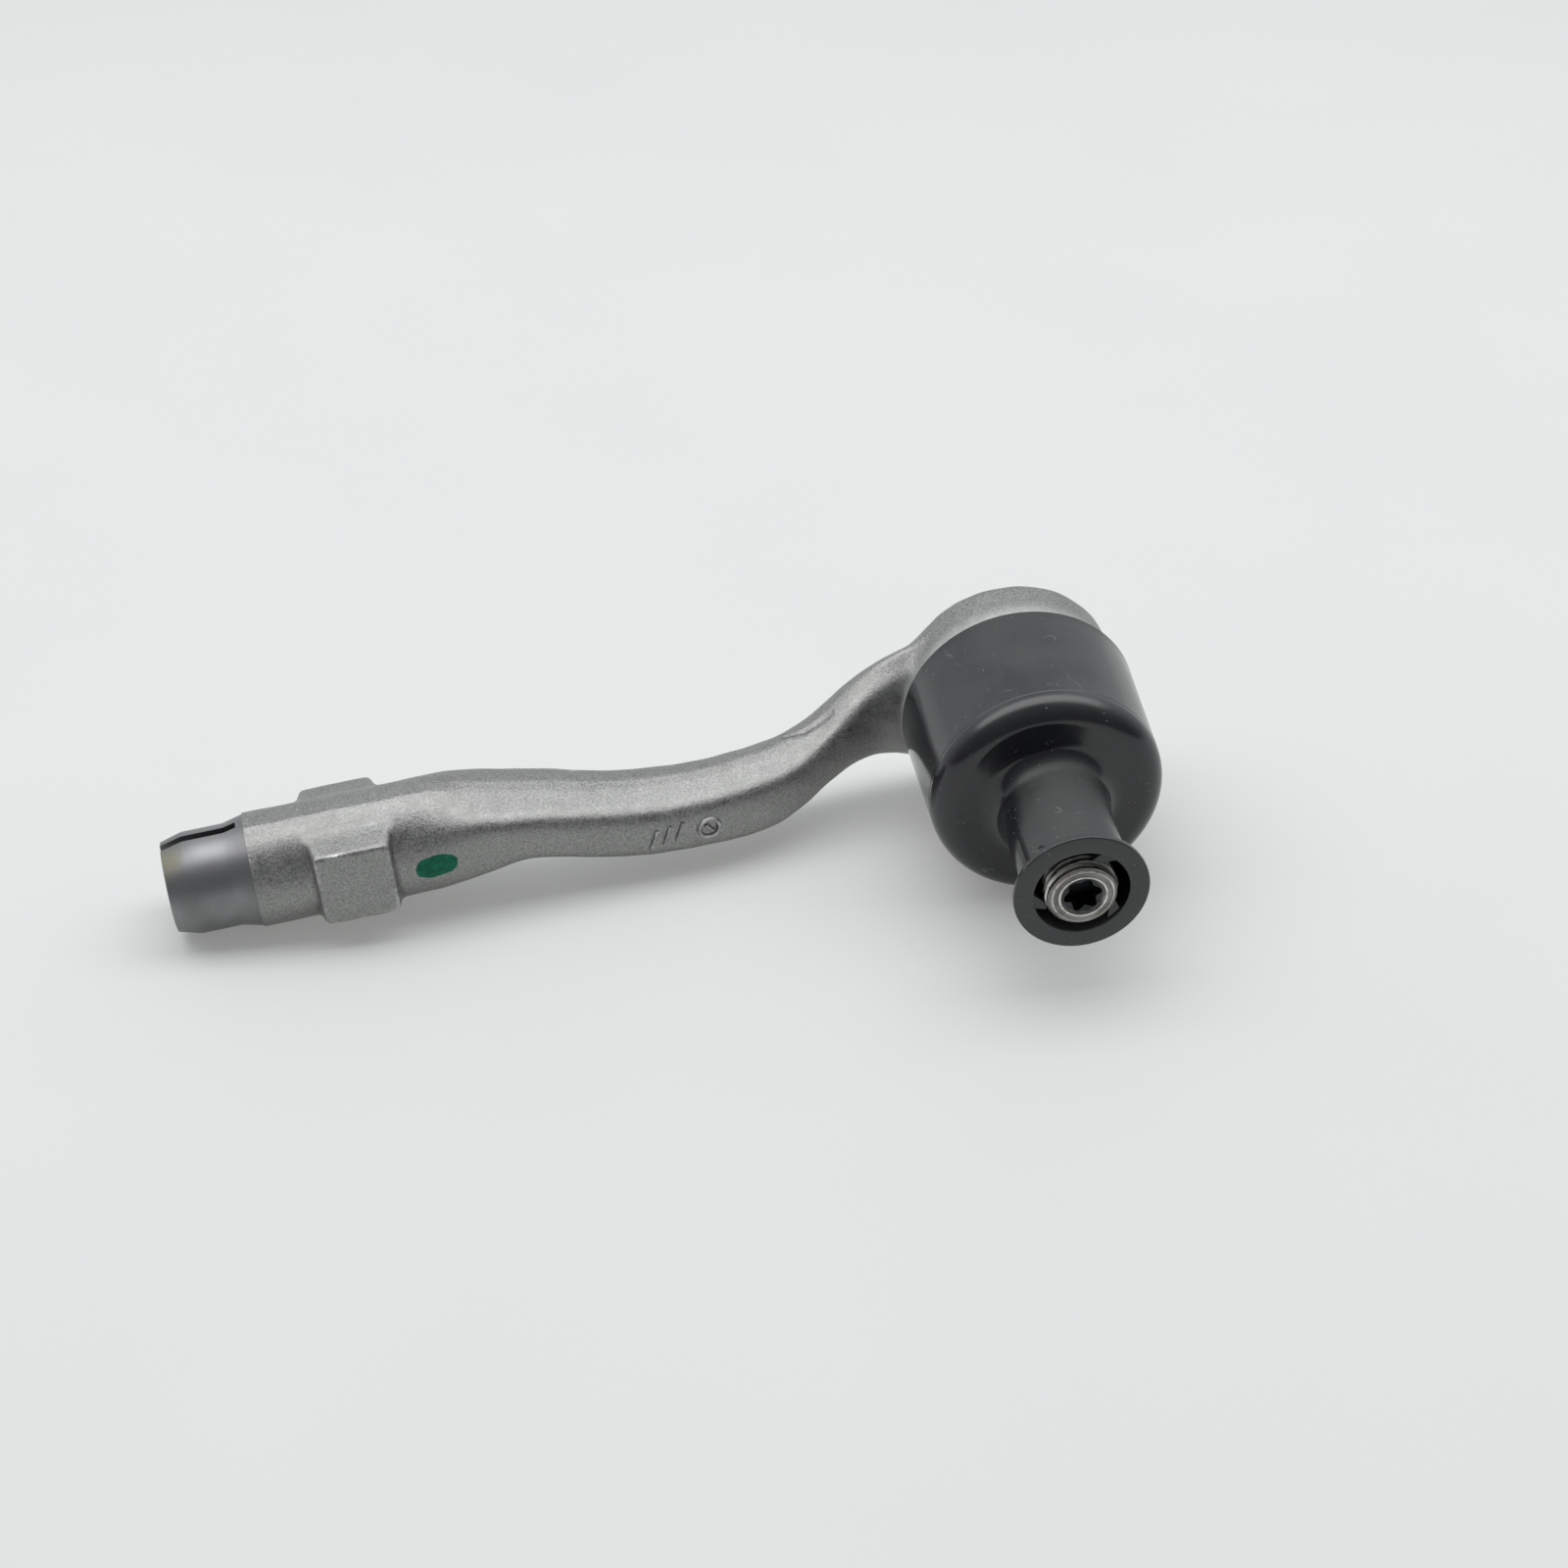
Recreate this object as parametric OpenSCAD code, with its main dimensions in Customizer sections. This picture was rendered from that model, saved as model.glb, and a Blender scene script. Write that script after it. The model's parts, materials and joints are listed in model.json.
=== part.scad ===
// Tie rod end: a forged arm with a ball housing, a ball stud in a sealed joint,
// and the plastic cap that protects the boot and the stud thread in transit.
// The origin is the ball centre. The stud points along -Y, the threaded tube lies
// towards -X and a little towards the stud, and +Z is up as the part lies at rest.

/* [Ball and stud] */
// Radius of the ball
ball_r = 12.5; // [12:0.1:12.5]
// Distance from the ball centre to the stud's tip
stud_len = 60.1; // [60:0.1:62]
// Thread radius of the stud
thread_r = 7; // [6:0.5:7]
// Length of the stud's thread
thread_len = 13.6; // [12:0.1:14]
// Radius of the taper at its large end
taper_r = 8.1; // [7.9:0.1:8.2]

/* [Housing] */
// Largest radius of the forged housing
housing_r = 21.4; // [21:0.1:21.6]
// Distance from the ball centre to the housing's back face
housing_back = 14.1; // [14.1:0.1:15]
// Distance from the ball centre to the housing's front face
housing_front = 11; // [10.8:0.1:11.2]

/* [Threaded tube] */
// Distance from the ball centre to the tube's end
tube_len = 170.5; // [165:0.5:180]
// Fall of the tube below horizontal, in degrees
tube_fall = 4.6; // [3:0.1:6]
// Turn of the tube towards the stud's side, in degrees
tube_turn = 5.6; // [3:0.1:7]
// Outer radius of the forged tube
tube_r = 11.2; // [10.8:0.1:11.5]
// Outer radius of the machined clamping end
clamp_r = 10; // [9.8:0.1:10.2]
// Length of the machined clamping end
clamp_len = 12.2; // [11.6:0.2:13.6]
// Radius of the bore that carries the thread
bore_r = 6.2; // [6:0.1:6.6]
// Depth of the threaded bore
bore_len = 46; // [40:1:50]
// Width of the two slots in the clamping end
slot_w = 2; // [1.5:0.1:2.5]
// Roll of the slots about the tube, in degrees
slot_roll = 7; // [0:1:30]

/* [Wrench flats] */
// Distance across the flats
flats = 27; // [26:0.5:28]
// Length of each pad along the tube
pad_len = 14.4; // [13:0.1:16]
// Height of each pad across the tube
pad_h = 15; // [13:0.1:16]
// Distance from the tube's end to the near edge of the pads
pad_start = 28; // [26:0.5:30]
// Roll of the pads about the tube, in degrees
pad_roll = 6; // [0:1:12]

/* [Transit cap] */
// Outer radius of the skirt at its rim
skirt_r = 23.6; // [23.4:0.1:24]
// Distance from the rim to the shoulder's front
skirt_len = 31.4; // [31:0.1:33]
// Outer radius of the neck
neck_r = 10.3; // [10.1:0.1:10.6]
// Radius of the end flange
flange_r = 12.9; // [12:0.1:13.5]
// Wall thickness of the cap
cap_wall = 1.3; // [1.1:0.1:1.4]
// Inner radius of the neck and of the hole in the flange
hole_r = 9.1; // [9:0.1:9.2]

/* [Hidden] */
$fn = 96;
eps = 0.01;

// forged arm's section: the exponent of its superellipse
squareness = 3;

// housing: places along the stud's axis, and how far its rounded back edge is cut in
back_edge = 2.6;
back_edge_in = 0.9;
back_edge_s = 1.2;
full_from = -6;
full_to = -1.4;
band_from = -0.6;
band_to = 1.6;
collar_from = 3.4;
nose_chamfer = 0.6;

// machined clamping end
lead_len = 4.3;
lead_drop = 1.2;
step_len = 4;
slot_run = 2.6;

// cone that carries the tube over into the forged arm
blend_from = 106;
blend_to = 122;
blend_r = 8.8;

// threaded bore
drill_tip = 3;
drill_point_r = 0.5;
mouth_chamfer = 1;
pad_chamfer = 1.4;

// seat
ball_gap = 0.04;
seat_r = 16.2;
seat_gap = 0.05;
seat_back = 9.6;
seat_shoulder = 1;
seat_front = 6.5;
seat_nose_r = 13.6;
mouth_in_r = 11.2;
mouth_out_r = 13;

// closing cover and the ring that loads the seat
cover_r = 17;
cover_t = 1.4;
cover_gap = 0.05;
dish_r = 10.4;
dish_h = 0.9;
dish_slope = 1.4;
dish_in = 0.4;
dish_drop = 0.2;
lip_t = 0.9;
lip_r = 15.4;
ring_r = 15.4;
ring_hole_r = 10.2;

// boot, and the turned front of the housing that it grips
band_r = housing_r - 0.8;
collar_r = 18;
nose_r = 17.7;
groove_r = 16.9;
groove_w = 2.6;
groove_s = 6.4;
boot_gap = 0.1;
boot_t = 1.5;
foot_t = 1.75;
bulge_r = 20.2;
bulge_s = 13.6;
bulge_from = [19.6, 11];
bulge_to = [19.7, 16.2];
fold_out = [17.6, 18.6];
cone_out = [14, 21.2];
cone_in = [13.2, 19.4];
fold_in = [16.8, 17.2];
bulge_in_to = [18.4, 15.6];
bulge_in_from = [18.2, 11.6];
bead_s = 22.6;
bead_w = 5;
bead_lip = 0.5;
bead_run = 1;
slip_r = 9.3;
slip_gap = 0.05;
slip_from = 22;
slip_to = 28.2;

// wire clips: how far each lies off the groove or the bead, and the wire's radius
base_clip_out = 2.45;
base_clip_s = 1.35;
base_wire = 0.55;
top_clip_out = 0.65;
top_clip_s = 1.9;
top_clip_pitch = 1.1;
top_wire = 0.5;

// stud
ball_flat_s = 11.2;
neck_waist_r = 6.9;
neck_end_s = 17;
seal_r = taper_r + 0.2;
seal_from = 21.5;
seal_step = 0.2;
taper_end_r = 7.4;
taper_start_s = 29;
undercut_r = 5.9;
undercut_w = 1.4;
undercut_slope = 0.6;
thread_lead = 0.4;
tip_chamfer = 1;
thread_s = stud_len - thread_len;
drive_r = 2.75;
lobe_r = 0.95;
lobe_turn = 13;
drive_depth = 5;

// cap
flange_t = 1.3;
cap_s = 58.9;
skirt_draft = 0.7;
shoulder_r = 5;
neck_fillet = 3.4;
tab_w = 3;
tab_t = 1.1;
tab_back = 1.6;
tab_root = 0.6;
tab_gap = 0.6;
tab_angles = [55, 188, 314];

// forged arm: the middle of each section, then its half depth and half height
arm_sections = 20;
arm_sides = 20;
arm_path = [
  [-127, -12.4, -10.2, 9.4, 9.2],
  [-112, -11, -8.4, 10.2, 8.4],
  [-98, -9.6, -8.6, 9.2, 7.2],
  [-85, -8.3, -11.4, 8.6, 7.6],
  [-70, -6.6, -12.8, 8.2, 7.9],
  [-55, -3.8, -11.7, 7.8, 7.9],
  [-41, 2.6, -8.7, 6.8, 6.4],
  [-29, 7.9, -4, 5.4, 9.2],
  [-17, 8.9, -3, 5, 13]
];

// points along an arc: centre, radius, first and last angle, and the number of steps
function arc(c, r, a0, a1, n = 8) =
  [for (i = [0 : n]) let (a = a0 + (a1 - a0) * i / n) [c[0] + r * cos(a), c[1] + r * sin(a)]];

// Catmull-Rom point between the rows i and i + 1 of a table
function row(t, i) = t[max(0, min(len(t) - 1, i))];
function spline(t, i, u) =
  let (a = row(t, i - 1), b = row(t, i), c = row(t, i + 1), d = row(t, i + 2))
  0.5 * (2 * b + (c - a) * u + (2 * a - 5 * b + 4 * c - d) * u * u
         + (3 * b - 3 * c + d - a) * u * u * u);
function along(t, v) =
  let (n = len(t) - 1, i = min(n - 1, floor(v * n)))
  spline(t, i, v * n - i);

// rounded box section: a superellipse in the plane across the path
function section_corner(a, half_y, half_z) =
  let (c = cos(a), s = sin(a),
       k = pow(pow(abs(c), squareness) + pow(abs(s), squareness), -1 / squareness))
  [half_y * k * c, half_z * k * s];

function arm_point(v, a) =
  let (p = along(arm_path, v),
       q = along(arm_path, min(1, v + 0.01)) - along(arm_path, max(0, v - 0.01)),
       lean = atan2(q[2], q[0]),
       w = section_corner(a, p[3], p[4]))
  [p[0] - w[1] * sin(lean), p[1] + w[0], p[2] + w[1] * cos(lean)];

// turn a profile's axis onto the stud's axis, pointing to the stud's tip
module on_stud_axis() {
  rotate([90, 0, 0]) children();
}

// move onto the tube's axis, with +Z pointing from the ball to the tube's mouth
module on_tube_axis() {
  rotate([0, 0, tube_turn]) rotate([0, -90 - tube_fall, 0]) children();
}

module lathe(outline) {
  on_stud_axis() rotate_extrude() polygon(outline);
}

module arm_shape() {
  rings = [for (i = [0 : arm_sections]) for (j = [0 : arm_sides - 1])
    arm_point(i / arm_sections, 360 * j / arm_sides)];
  walls = [for (i = [0 : arm_sections - 1]) for (j = [0 : arm_sides - 1])
    let (a = i * arm_sides + j, b = i * arm_sides + (j + 1) % arm_sides)
    each [[a, a + arm_sides, b], [b, a + arm_sides, b + arm_sides]]];
  near = [for (j = [0 : arm_sides - 1]) j];
  far = [for (j = [0 : arm_sides - 1]) (arm_sections + 1) * arm_sides - 1 - j];
  polyhedron(rings, concat(walls, [near, far]));
}

module housing_shape() {
  groove_end = groove_s + groove_w;
  lathe([[0, -housing_back], [housing_r - back_edge, -housing_back],
         [housing_r - back_edge_in, back_edge_s - housing_back], [housing_r, full_from],
         [housing_r, full_to], [band_r, band_from], [band_r, band_to],
         [collar_r, collar_from], [collar_r, groove_s], [groove_r, groove_s],
         [groove_r, groove_end], [nose_r, groove_end], [nose_r, housing_front - nose_chamfer],
         [nose_r - nose_chamfer, housing_front], [0, housing_front]]);
}

module housing_cavity() {
  seat = seat_r + seat_gap;
  cover = cover_r + seat_gap;
  cover_back = housing_back - lip_t;
  cover_front = cover_back - cover_t - 2 * cover_gap;
  nose = seat_front + seat_gap;
  lathe([[0, -housing_back - 1], [lip_r, -housing_back - 1], [lip_r, -cover_back],
         [cover, -cover_back], [cover, -cover_front], [seat, -cover_front],
         [seat, seat_shoulder], [seat_nose_r + seat_gap, nose], [mouth_in_r, nose],
         [mouth_out_r, housing_front], [mouth_out_r, housing_front + 1],
         [0, housing_front + 1]]);
}

module tube_shape() {
  tube_end = tube_len - clamp_len - step_len;
  on_tube_axis() {
    translate([0, 0, blend_from]) cylinder(r1 = blend_r, r2 = tube_r, h = blend_to - blend_from);
    translate([0, 0, blend_to]) cylinder(r = tube_r, h = tube_end - blend_to);
    translate([0, 0, tube_end]) cylinder(r1 = tube_r, r2 = clamp_r, h = step_len);
    translate([0, 0, tube_end + step_len]) cylinder(r = clamp_r, h = clamp_len - lead_len);
    translate([0, 0, tube_len - lead_len])
      cylinder(r1 = clamp_r, r2 = clamp_r - lead_drop, h = lead_len);
  }
}

module pads() {
  on_tube_axis() rotate([0, 0, pad_roll])
    translate([0, 0, tube_len - pad_start - pad_len / 2])
      difference() {
        cube([pad_h, flats, pad_len], center = true);
        for (side = [-1, 1], edge = [-1, 1])
          translate([edge * pad_h / 2, side * flats / 2, 0])
            rotate([0, 0, 45]) cube([pad_chamfer, pad_chamfer, pad_len + 1], center = true);
      }
}

module tube_bore() {
  on_tube_axis() {
    translate([0, 0, tube_len - bore_len]) cylinder(r = bore_r, h = bore_len + 1);
    translate([0, 0, tube_len - bore_len - drill_tip])
      cylinder(r1 = drill_point_r, r2 = bore_r, h = drill_tip + eps);
    translate([0, 0, tube_len - mouth_chamfer])
      cylinder(r1 = bore_r, r2 = bore_r + mouth_chamfer + eps, h = mouth_chamfer + eps);
    rotate([0, 0, slot_roll]) translate([0, 0, tube_len - clamp_len - slot_run])
      translate([-tube_r - 1, -slot_w / 2, 0])
        cube([2 * tube_r + 2, slot_w, clamp_len + slot_run + 1]);
  }
}

module arm_forging() {
  color([0.62, 0.62, 0.6])
  difference() {
    union() {
      arm_shape();
      housing_shape();
      tube_shape();
      pads();
    }
    housing_cavity();
    tube_bore();
  }
}

module closing_cover() {
  back = housing_back - lip_t - cover_gap;
  front = back - cover_t;
  floor_out = back + dish_h;
  floor_in = front + dish_h + dish_drop;
  color([0.75, 0.75, 0.72])
  lathe([[0, -floor_out], [dish_r - dish_slope, -floor_out], [dish_r, -back], [cover_r, -back],
         [cover_r, -front], [dish_r - dish_in, -front],
         [dish_r - dish_in - dish_slope, -floor_in], [0, -floor_in]]);
}

module pressure_ring() {
  back = housing_back - lip_t - cover_t - 3 * cover_gap;
  color([0.5, 0.5, 0.52])
  lathe([[ring_hole_r, -back], [ring_r, -back], [ring_r, -seat_back - cover_gap],
         [ring_hole_r, -seat_back - cover_gap]]);
}

module ball_seat() {
  socket_r = ball_r + ball_gap;
  color([0.93, 0.92, 0.86])
  lathe(concat([[seat_r, -seat_back], [seat_r, seat_shoulder], [seat_nose_r, seat_front]],
               arc([0, 0], socket_r, asin(seat_front / socket_r), -asin(seat_back / socket_r), 40)));
}

module drive_socket() {
  on_stud_axis() translate([0, 0, stud_len - drive_depth]) {
    cylinder(r = drive_r, h = drive_depth + 1);
    for (i = [0 : 5])
      rotate([0, 0, lobe_turn + 60 * i]) translate([drive_r, 0, 0])
        cylinder(r = lobe_r, h = drive_depth + 1);
  }
}

module ball_stud() {
  color([0.55, 0.55, 0.56])
  difference() {
    lathe(concat(
      [[0, -ball_flat_s]],
      arc([0, 0], ball_r, -asin(ball_flat_s / ball_r), acos(neck_waist_r / ball_r), 50),
      [[neck_waist_r, neck_end_s], [seal_r, seal_from], [seal_r, taper_start_s],
       [taper_r, taper_start_s + seal_step],
       [taper_end_r, thread_s - undercut_w - undercut_slope],
       [undercut_r, thread_s - undercut_w], [undercut_r, thread_s - undercut_slope],
       [thread_r, thread_s + thread_lead], [thread_r, stud_len - tip_chamfer],
       [thread_r - tip_chamfer, stud_len], [0, stud_len]]));
    drive_socket();
  }
}

module dust_boot() {
  foot_in = groove_r + boot_gap;
  foot_out = foot_in + foot_t;
  foot_s = groove_s + boot_gap;
  foot_end = groove_s + groove_w - boot_gap;
  nose_in = nose_r + boot_gap;
  small_in = slip_r + slip_gap;
  small_out = small_in + boot_t;
  top = bead_s + bead_w;
  color([0.09, 0.09, 0.1])
  lathe([[foot_in, foot_s], [foot_out, foot_s], [foot_out, foot_end], bulge_from,
         [bulge_r, bulge_s], bulge_to, fold_out, cone_out, [small_out + bead_lip, bead_s],
         [small_out, bead_s + bead_run], [small_out, top - bead_run],
         [small_out + bead_lip, top], [small_in, top], [small_in, bead_s - bead_run],
         cone_in, fold_in, bulge_in_to, [bulge_r - boot_t, bulge_s], bulge_in_from,
         [nose_in, housing_front], [nose_in, foot_end], [foot_in, foot_end]]);
}

module wire_ring(r, s, wire) {
  on_stud_axis() translate([0, 0, s])
    rotate_extrude() translate([r, 0]) circle(r = wire, $fn = 24);
}

module boot_base_clip() {
  color([0.3, 0.3, 0.32])
  wire_ring(groove_r + base_clip_out, groove_s + base_clip_s, base_wire);
}

module boot_slip_ring() {
  in_r = seal_r + slip_gap;
  color([0.2, 0.2, 0.22])
  lathe([[in_r, slip_from], [slip_r, slip_from], [slip_r, slip_to], [in_r, slip_to]]);
}

module boot_top_clip() {
  color([0.3, 0.3, 0.32])
  for (i = [0 : 1])
    wire_ring(slip_r + boot_t + top_clip_out, bead_s + top_clip_s + top_clip_pitch * i, top_wire);
}

module cap_shell() {
  top_r = skirt_r - skirt_draft;
  flange_s = cap_s - flange_t;
  inner_r = shoulder_r - cap_wall;
  face_in = skirt_len - cap_wall;
  lathe(concat(
    [[skirt_r - cap_wall, 0], [skirt_r, 0]],
    arc([top_r - shoulder_r, skirt_len - shoulder_r], shoulder_r, 0, 90),
    arc([neck_r + neck_fillet, skirt_len + neck_fillet], neck_fillet, 270, 180),
    [[neck_r, flange_s], [flange_r, flange_s], [flange_r, cap_s], [hole_r, cap_s],
     [hole_r, face_in]],
    arc([top_r - shoulder_r, skirt_len - shoulder_r], inner_r, 90, 0)));
}

module transit_cap() {
  color([0.07, 0.07, 0.09]) {
    cap_shell();
    on_stud_axis()
      for (a = tab_angles)
        rotate([0, 0, a]) translate([thread_r + tab_gap, -tab_w / 2, cap_s - tab_back])
          cube([hole_r + tab_root - thread_r - tab_gap, tab_w, tab_t]);
  }
}

arm_forging();
closing_cover();
pressure_ring();
ball_seat();
ball_stud();
dust_boot();
boot_base_clip();
boot_slip_ring();
boot_top_clip();
transit_cap();
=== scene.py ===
import json
import math

import bmesh
import bpy
import numpy as np
from mathutils import Matrix, Vector


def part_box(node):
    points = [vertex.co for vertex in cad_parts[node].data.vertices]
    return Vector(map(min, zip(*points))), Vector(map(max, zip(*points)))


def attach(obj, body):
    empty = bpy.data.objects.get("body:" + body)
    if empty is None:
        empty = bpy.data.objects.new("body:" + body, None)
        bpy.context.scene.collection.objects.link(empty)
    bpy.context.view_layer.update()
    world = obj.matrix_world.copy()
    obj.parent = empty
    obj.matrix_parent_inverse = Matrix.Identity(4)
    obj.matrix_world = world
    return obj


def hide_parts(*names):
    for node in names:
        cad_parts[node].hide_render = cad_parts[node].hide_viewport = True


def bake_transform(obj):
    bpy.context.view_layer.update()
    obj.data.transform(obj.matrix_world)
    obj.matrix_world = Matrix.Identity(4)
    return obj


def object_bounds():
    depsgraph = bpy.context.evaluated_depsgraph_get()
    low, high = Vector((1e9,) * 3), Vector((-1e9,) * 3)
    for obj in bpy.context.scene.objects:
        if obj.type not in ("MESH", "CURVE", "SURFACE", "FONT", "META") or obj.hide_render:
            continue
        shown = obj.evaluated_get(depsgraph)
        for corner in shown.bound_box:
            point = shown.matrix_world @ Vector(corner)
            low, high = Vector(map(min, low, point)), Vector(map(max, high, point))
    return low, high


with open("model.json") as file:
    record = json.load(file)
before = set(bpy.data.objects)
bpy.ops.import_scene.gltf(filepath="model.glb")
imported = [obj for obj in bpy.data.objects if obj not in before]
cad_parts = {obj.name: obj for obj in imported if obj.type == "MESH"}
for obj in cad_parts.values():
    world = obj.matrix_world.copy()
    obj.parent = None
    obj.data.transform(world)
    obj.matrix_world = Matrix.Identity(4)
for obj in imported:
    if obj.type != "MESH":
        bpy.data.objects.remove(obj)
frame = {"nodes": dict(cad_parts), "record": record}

# The looks of the tie rod end. Lengths are in millimetres, in the frame of the CAD model:
# origin at the ball centre, stud along -Y, tube towards -X, +Z up. Noise scales, bump
# heights and the stage are in metres. Lathe outlines are (radius, distance along the axis).
MM = 0.001
CAD_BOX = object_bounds()

# camera: angles in degrees, lens as a full-frame focal length
VIEW_TURN = -7.92
VIEW_RISE = 36.96
VIEW_DISTANCE = 608.9
VIEW_AIM = (-45.6, 12.9, -23.6)
LENS = 67.5
SENSOR = 36.0


# ---- frame values

def mount(name):
    """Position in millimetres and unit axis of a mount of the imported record."""
    row = next(m for m in frame["record"]["mounts"] if m["name"] == name)
    return np.array(row["pos_m"]) / MM, np.array(row["axis"], float)


def node_box(name):
    """Lowest and highest corner of a CAD node in millimetres."""
    low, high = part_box(name)
    return np.array(low) / MM, np.array(high) / MM


MOUTH, TUBE_AXIS = mount("tube_thread")
PAD_SPOT, PAD_OUT = mount("wrench_flat_front")

MOUTH_CHAMFER = 1.0
TUBE_LEN = float(MOUTH @ TUBE_AXIS) + MOUTH_CHAMFER
TUBE_BACK = np.array([TUBE_AXIS[1], -TUBE_AXIS[0], 0.0])
TUBE_BACK /= np.linalg.norm(TUBE_BACK)
TUBE_UP = np.cross(TUBE_BACK, TUBE_AXIS)
# lathe places: +Z towards the tip of the stud, or to the mouth of the tube with +X upwards
ON_STUD = Matrix.Rotation(math.radians(90), 4, "X")
ON_TUBE = Matrix((TUBE_UP, TUBE_BACK, TUBE_AXIS)).transposed().to_4x4()
PAD_UP = np.cross(TUBE_AXIS, PAD_OUT)
PAD_MID = float(PAD_SPOT @ TUBE_AXIS)
FLAT_HALF = float(PAD_SPOT @ PAD_OUT)

# tube and machined clamping end
TUBE_R = 11.2
CLAMP_R = 10.0
CLAMP_LEN = 12.2
STEP_LEN = 4.0
LEAD_LEN = 4.3
LEAD_DROP = 1.2
BORE_R = 6.2
BORE_LEN = 46.0
DRILL_TIP = 3.0
THREAD_PITCH = 1.5
THREAD_DEPTH = 0.8
THREAD_LAND = 0.06
THREAD_FLANK = 0.34
SLOT_W = 2.0
SLOT_ROLL = 7.0
SLOT_RUN = 2.6
TURNED_STEP = 0.22
STEP_AT = TUBE_LEN - CLAMP_LEN - STEP_LEN
RIDGE_LEAN = math.radians(-8)
RIDGE_TILT = math.radians(14)

# wrench pads
PAD_HALF_LEN = 7.2
PAD_HALF_H = 7.5
PAD_DRAFT = 0.2
PAD_DEEP = 5.5
PAD_CORNER = 1.5
PAD_EDGE = 0.7
PAD_BLEND = 1.1
PAD_ROOT = 5.0
REAR_PAD_SHIFT = 0.6

# forged arm: where the round tube becomes the arm's section
MORPH_FROM = -124.0
MORPH_TO = -108.0
ARM_FROM = -126.0
ARM_TO = -24.0
ARM_END = -15.0
STATION = 3.0
ARM_STEP = 0.5
KERNEL_REACH = 12
KERNEL_WIDTH = 5.0
CREST_U = 0.88
CREST_V_FRONT = 0.69
CREST_V_BACK = 0.78
WAIST_V = 0.5
RIDGE_U = 0.18
RIDGE_SOFT = 0.05
FLASH_H = 0.14
FLASH_HALF_W = 0.8
SECTION_ROUND = 1.7
HOUSING_BLEND = 2.6
# swellings of the arm: place along X, reach, rise of the top, drop of the underside,
# growth forwards
SWELLS = ((-24.0, 8.0, 1.9, 1.4, 0.0), (-47.0, 8.5, 0.0, 2.3, 0.5))

# housing
HOUSING_R = 21.4
HOUSING_BACK = float(node_box("arm_forging")[1][1])
HOUSING_FROM = -4.0
HOUSING_BELLY = 0.25
HOUSING_EDGE = 2.8
BACK_EDGE = 0.5
FACE_R = 26.0
FACE_Y = -3.4
BAND_R = HOUSING_R - 0.8
BAND_END = 1.6
TURNED_FROM = -1.2
COLLAR_R = 18.0
NOSE_R = 17.7
GROOVE_R = 16.9
GROOVE_S = 6.4
GROOVE_W = 2.6
HOUSING_FRONT = 11.0
LIP_R = 15.4
SEAT_BORE_R = 16.25
COVER_BORE_R = 17.05
COVER_FRONT = -11.7
COVER_BACK = -13.2
NOSE_BORE_R = 11.2
NOSE_BORE_S = 6.55

# fold in the forging's skin: its path, its groove, and the lip above it
LAP_PATH = ((-47.5, 2.3, -4.0), (-42.8, 1.7, -1.9), (-37.4, 3.3, 0.9))
LAP_DEPTH = 0.6
LAP_HALF_W = 0.5
LAP_FADE = (4.0, 7.5)
LIP_AWAY = 1.2
LIP_HALF_W = 0.9
LIP_SHARE = 0.25
SLOW_WAVE = 0.06
QUICK_WAVE = 0.035

# raised marks: the ring's middle, each bar's middle, slant in degrees and length, and the
# bead's section as (share of its half width, height)
MARK_RING = (-64.1, -14.1, -12.5)
MARK_BARS = ((MARK_RING, -42, 2.4), ((-75.2, -16.0, -13.0), 18, 4.4),
             ((-72.6, -15.5, -12.5), 18, 4.4), ((-70.0, -15.2, -12.1), 18, 4.4))
MARK_RING_R = 2.1
MARK_HALF_W = 0.45
MARK_H = 0.42
MARK_SECTION = ((-1.1, -1.0), (-1.1, -0.1), (-0.6, MARK_H), (0.6, MARK_H), (1.1, -0.1), (1.1, -1.0))
MARK_PROBE = 0.4

GRID_STEP = 0.5
GRID_MARGIN = 2.5
END_SPARE = 0.5
WELD = 0.002
FAR = 1e3


# ---- mesh tools

def new_object(name, data):
    made = bpy.data.objects.new(name, data)
    bpy.context.scene.collection.objects.link(made)
    return made


def rounded(outline, closed=True, steps=5):
    """Outline of (r, s) or (r, s, fillet) corners, with an arc in place of each fillet corner."""
    out = []
    count = len(outline)
    for i, corner in enumerate(outline):
        here = np.array(corner[:2], float)
        fillet = corner[2] if len(corner) > 2 else 0.0
        ends = not closed and i in (0, count - 1)
        if not fillet or ends:
            out.append(here)
            continue
        before = np.array(outline[i - 1][:2], float) - here
        after = np.array(outline[(i + 1) % count][:2], float) - here
        before /= np.linalg.norm(before)
        after /= np.linalg.norm(after)
        half = math.acos(max(-1.0, min(1.0, float(before @ after)))) / 2
        reach = fillet / math.tan(half)
        centre = here + (before + after) / np.linalg.norm(before + after) * fillet / math.sin(half)
        a = here + before * reach - centre
        b = here + after * reach - centre
        turn = math.atan2(a[0] * b[1] - a[1] * b[0], float(a @ b))
        for k in range(steps + 1):
            angle = turn * k / steps
            c, s = math.cos(angle), math.sin(angle)
            out.append(centre + np.array([a[0] * c - a[1] * s, a[0] * s + a[1] * c]))
    return [tuple(p) for p in out]


def arc(centre, radius, first, last, steps=16):
    """Points along an arc in the (r, s) plane, angles in degrees."""
    angles = np.radians(np.linspace(first, last, steps + 1))
    return [(centre[0] + radius * math.cos(a), centre[1] + radius * math.sin(a)) for a in angles]


def resample(outline, step):
    """The same open outline with no stretch longer than the step."""
    out = [outline[0]]
    for a, b in zip(outline, outline[1:]):
        parts = max(1, math.ceil(math.dist(a, b) / step))
        out += [(a[0] + (b[0] - a[0]) * k / parts, a[1] + (b[1] - a[1]) * k / parts)
                for k in range(1, parts + 1)]
    return out


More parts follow.
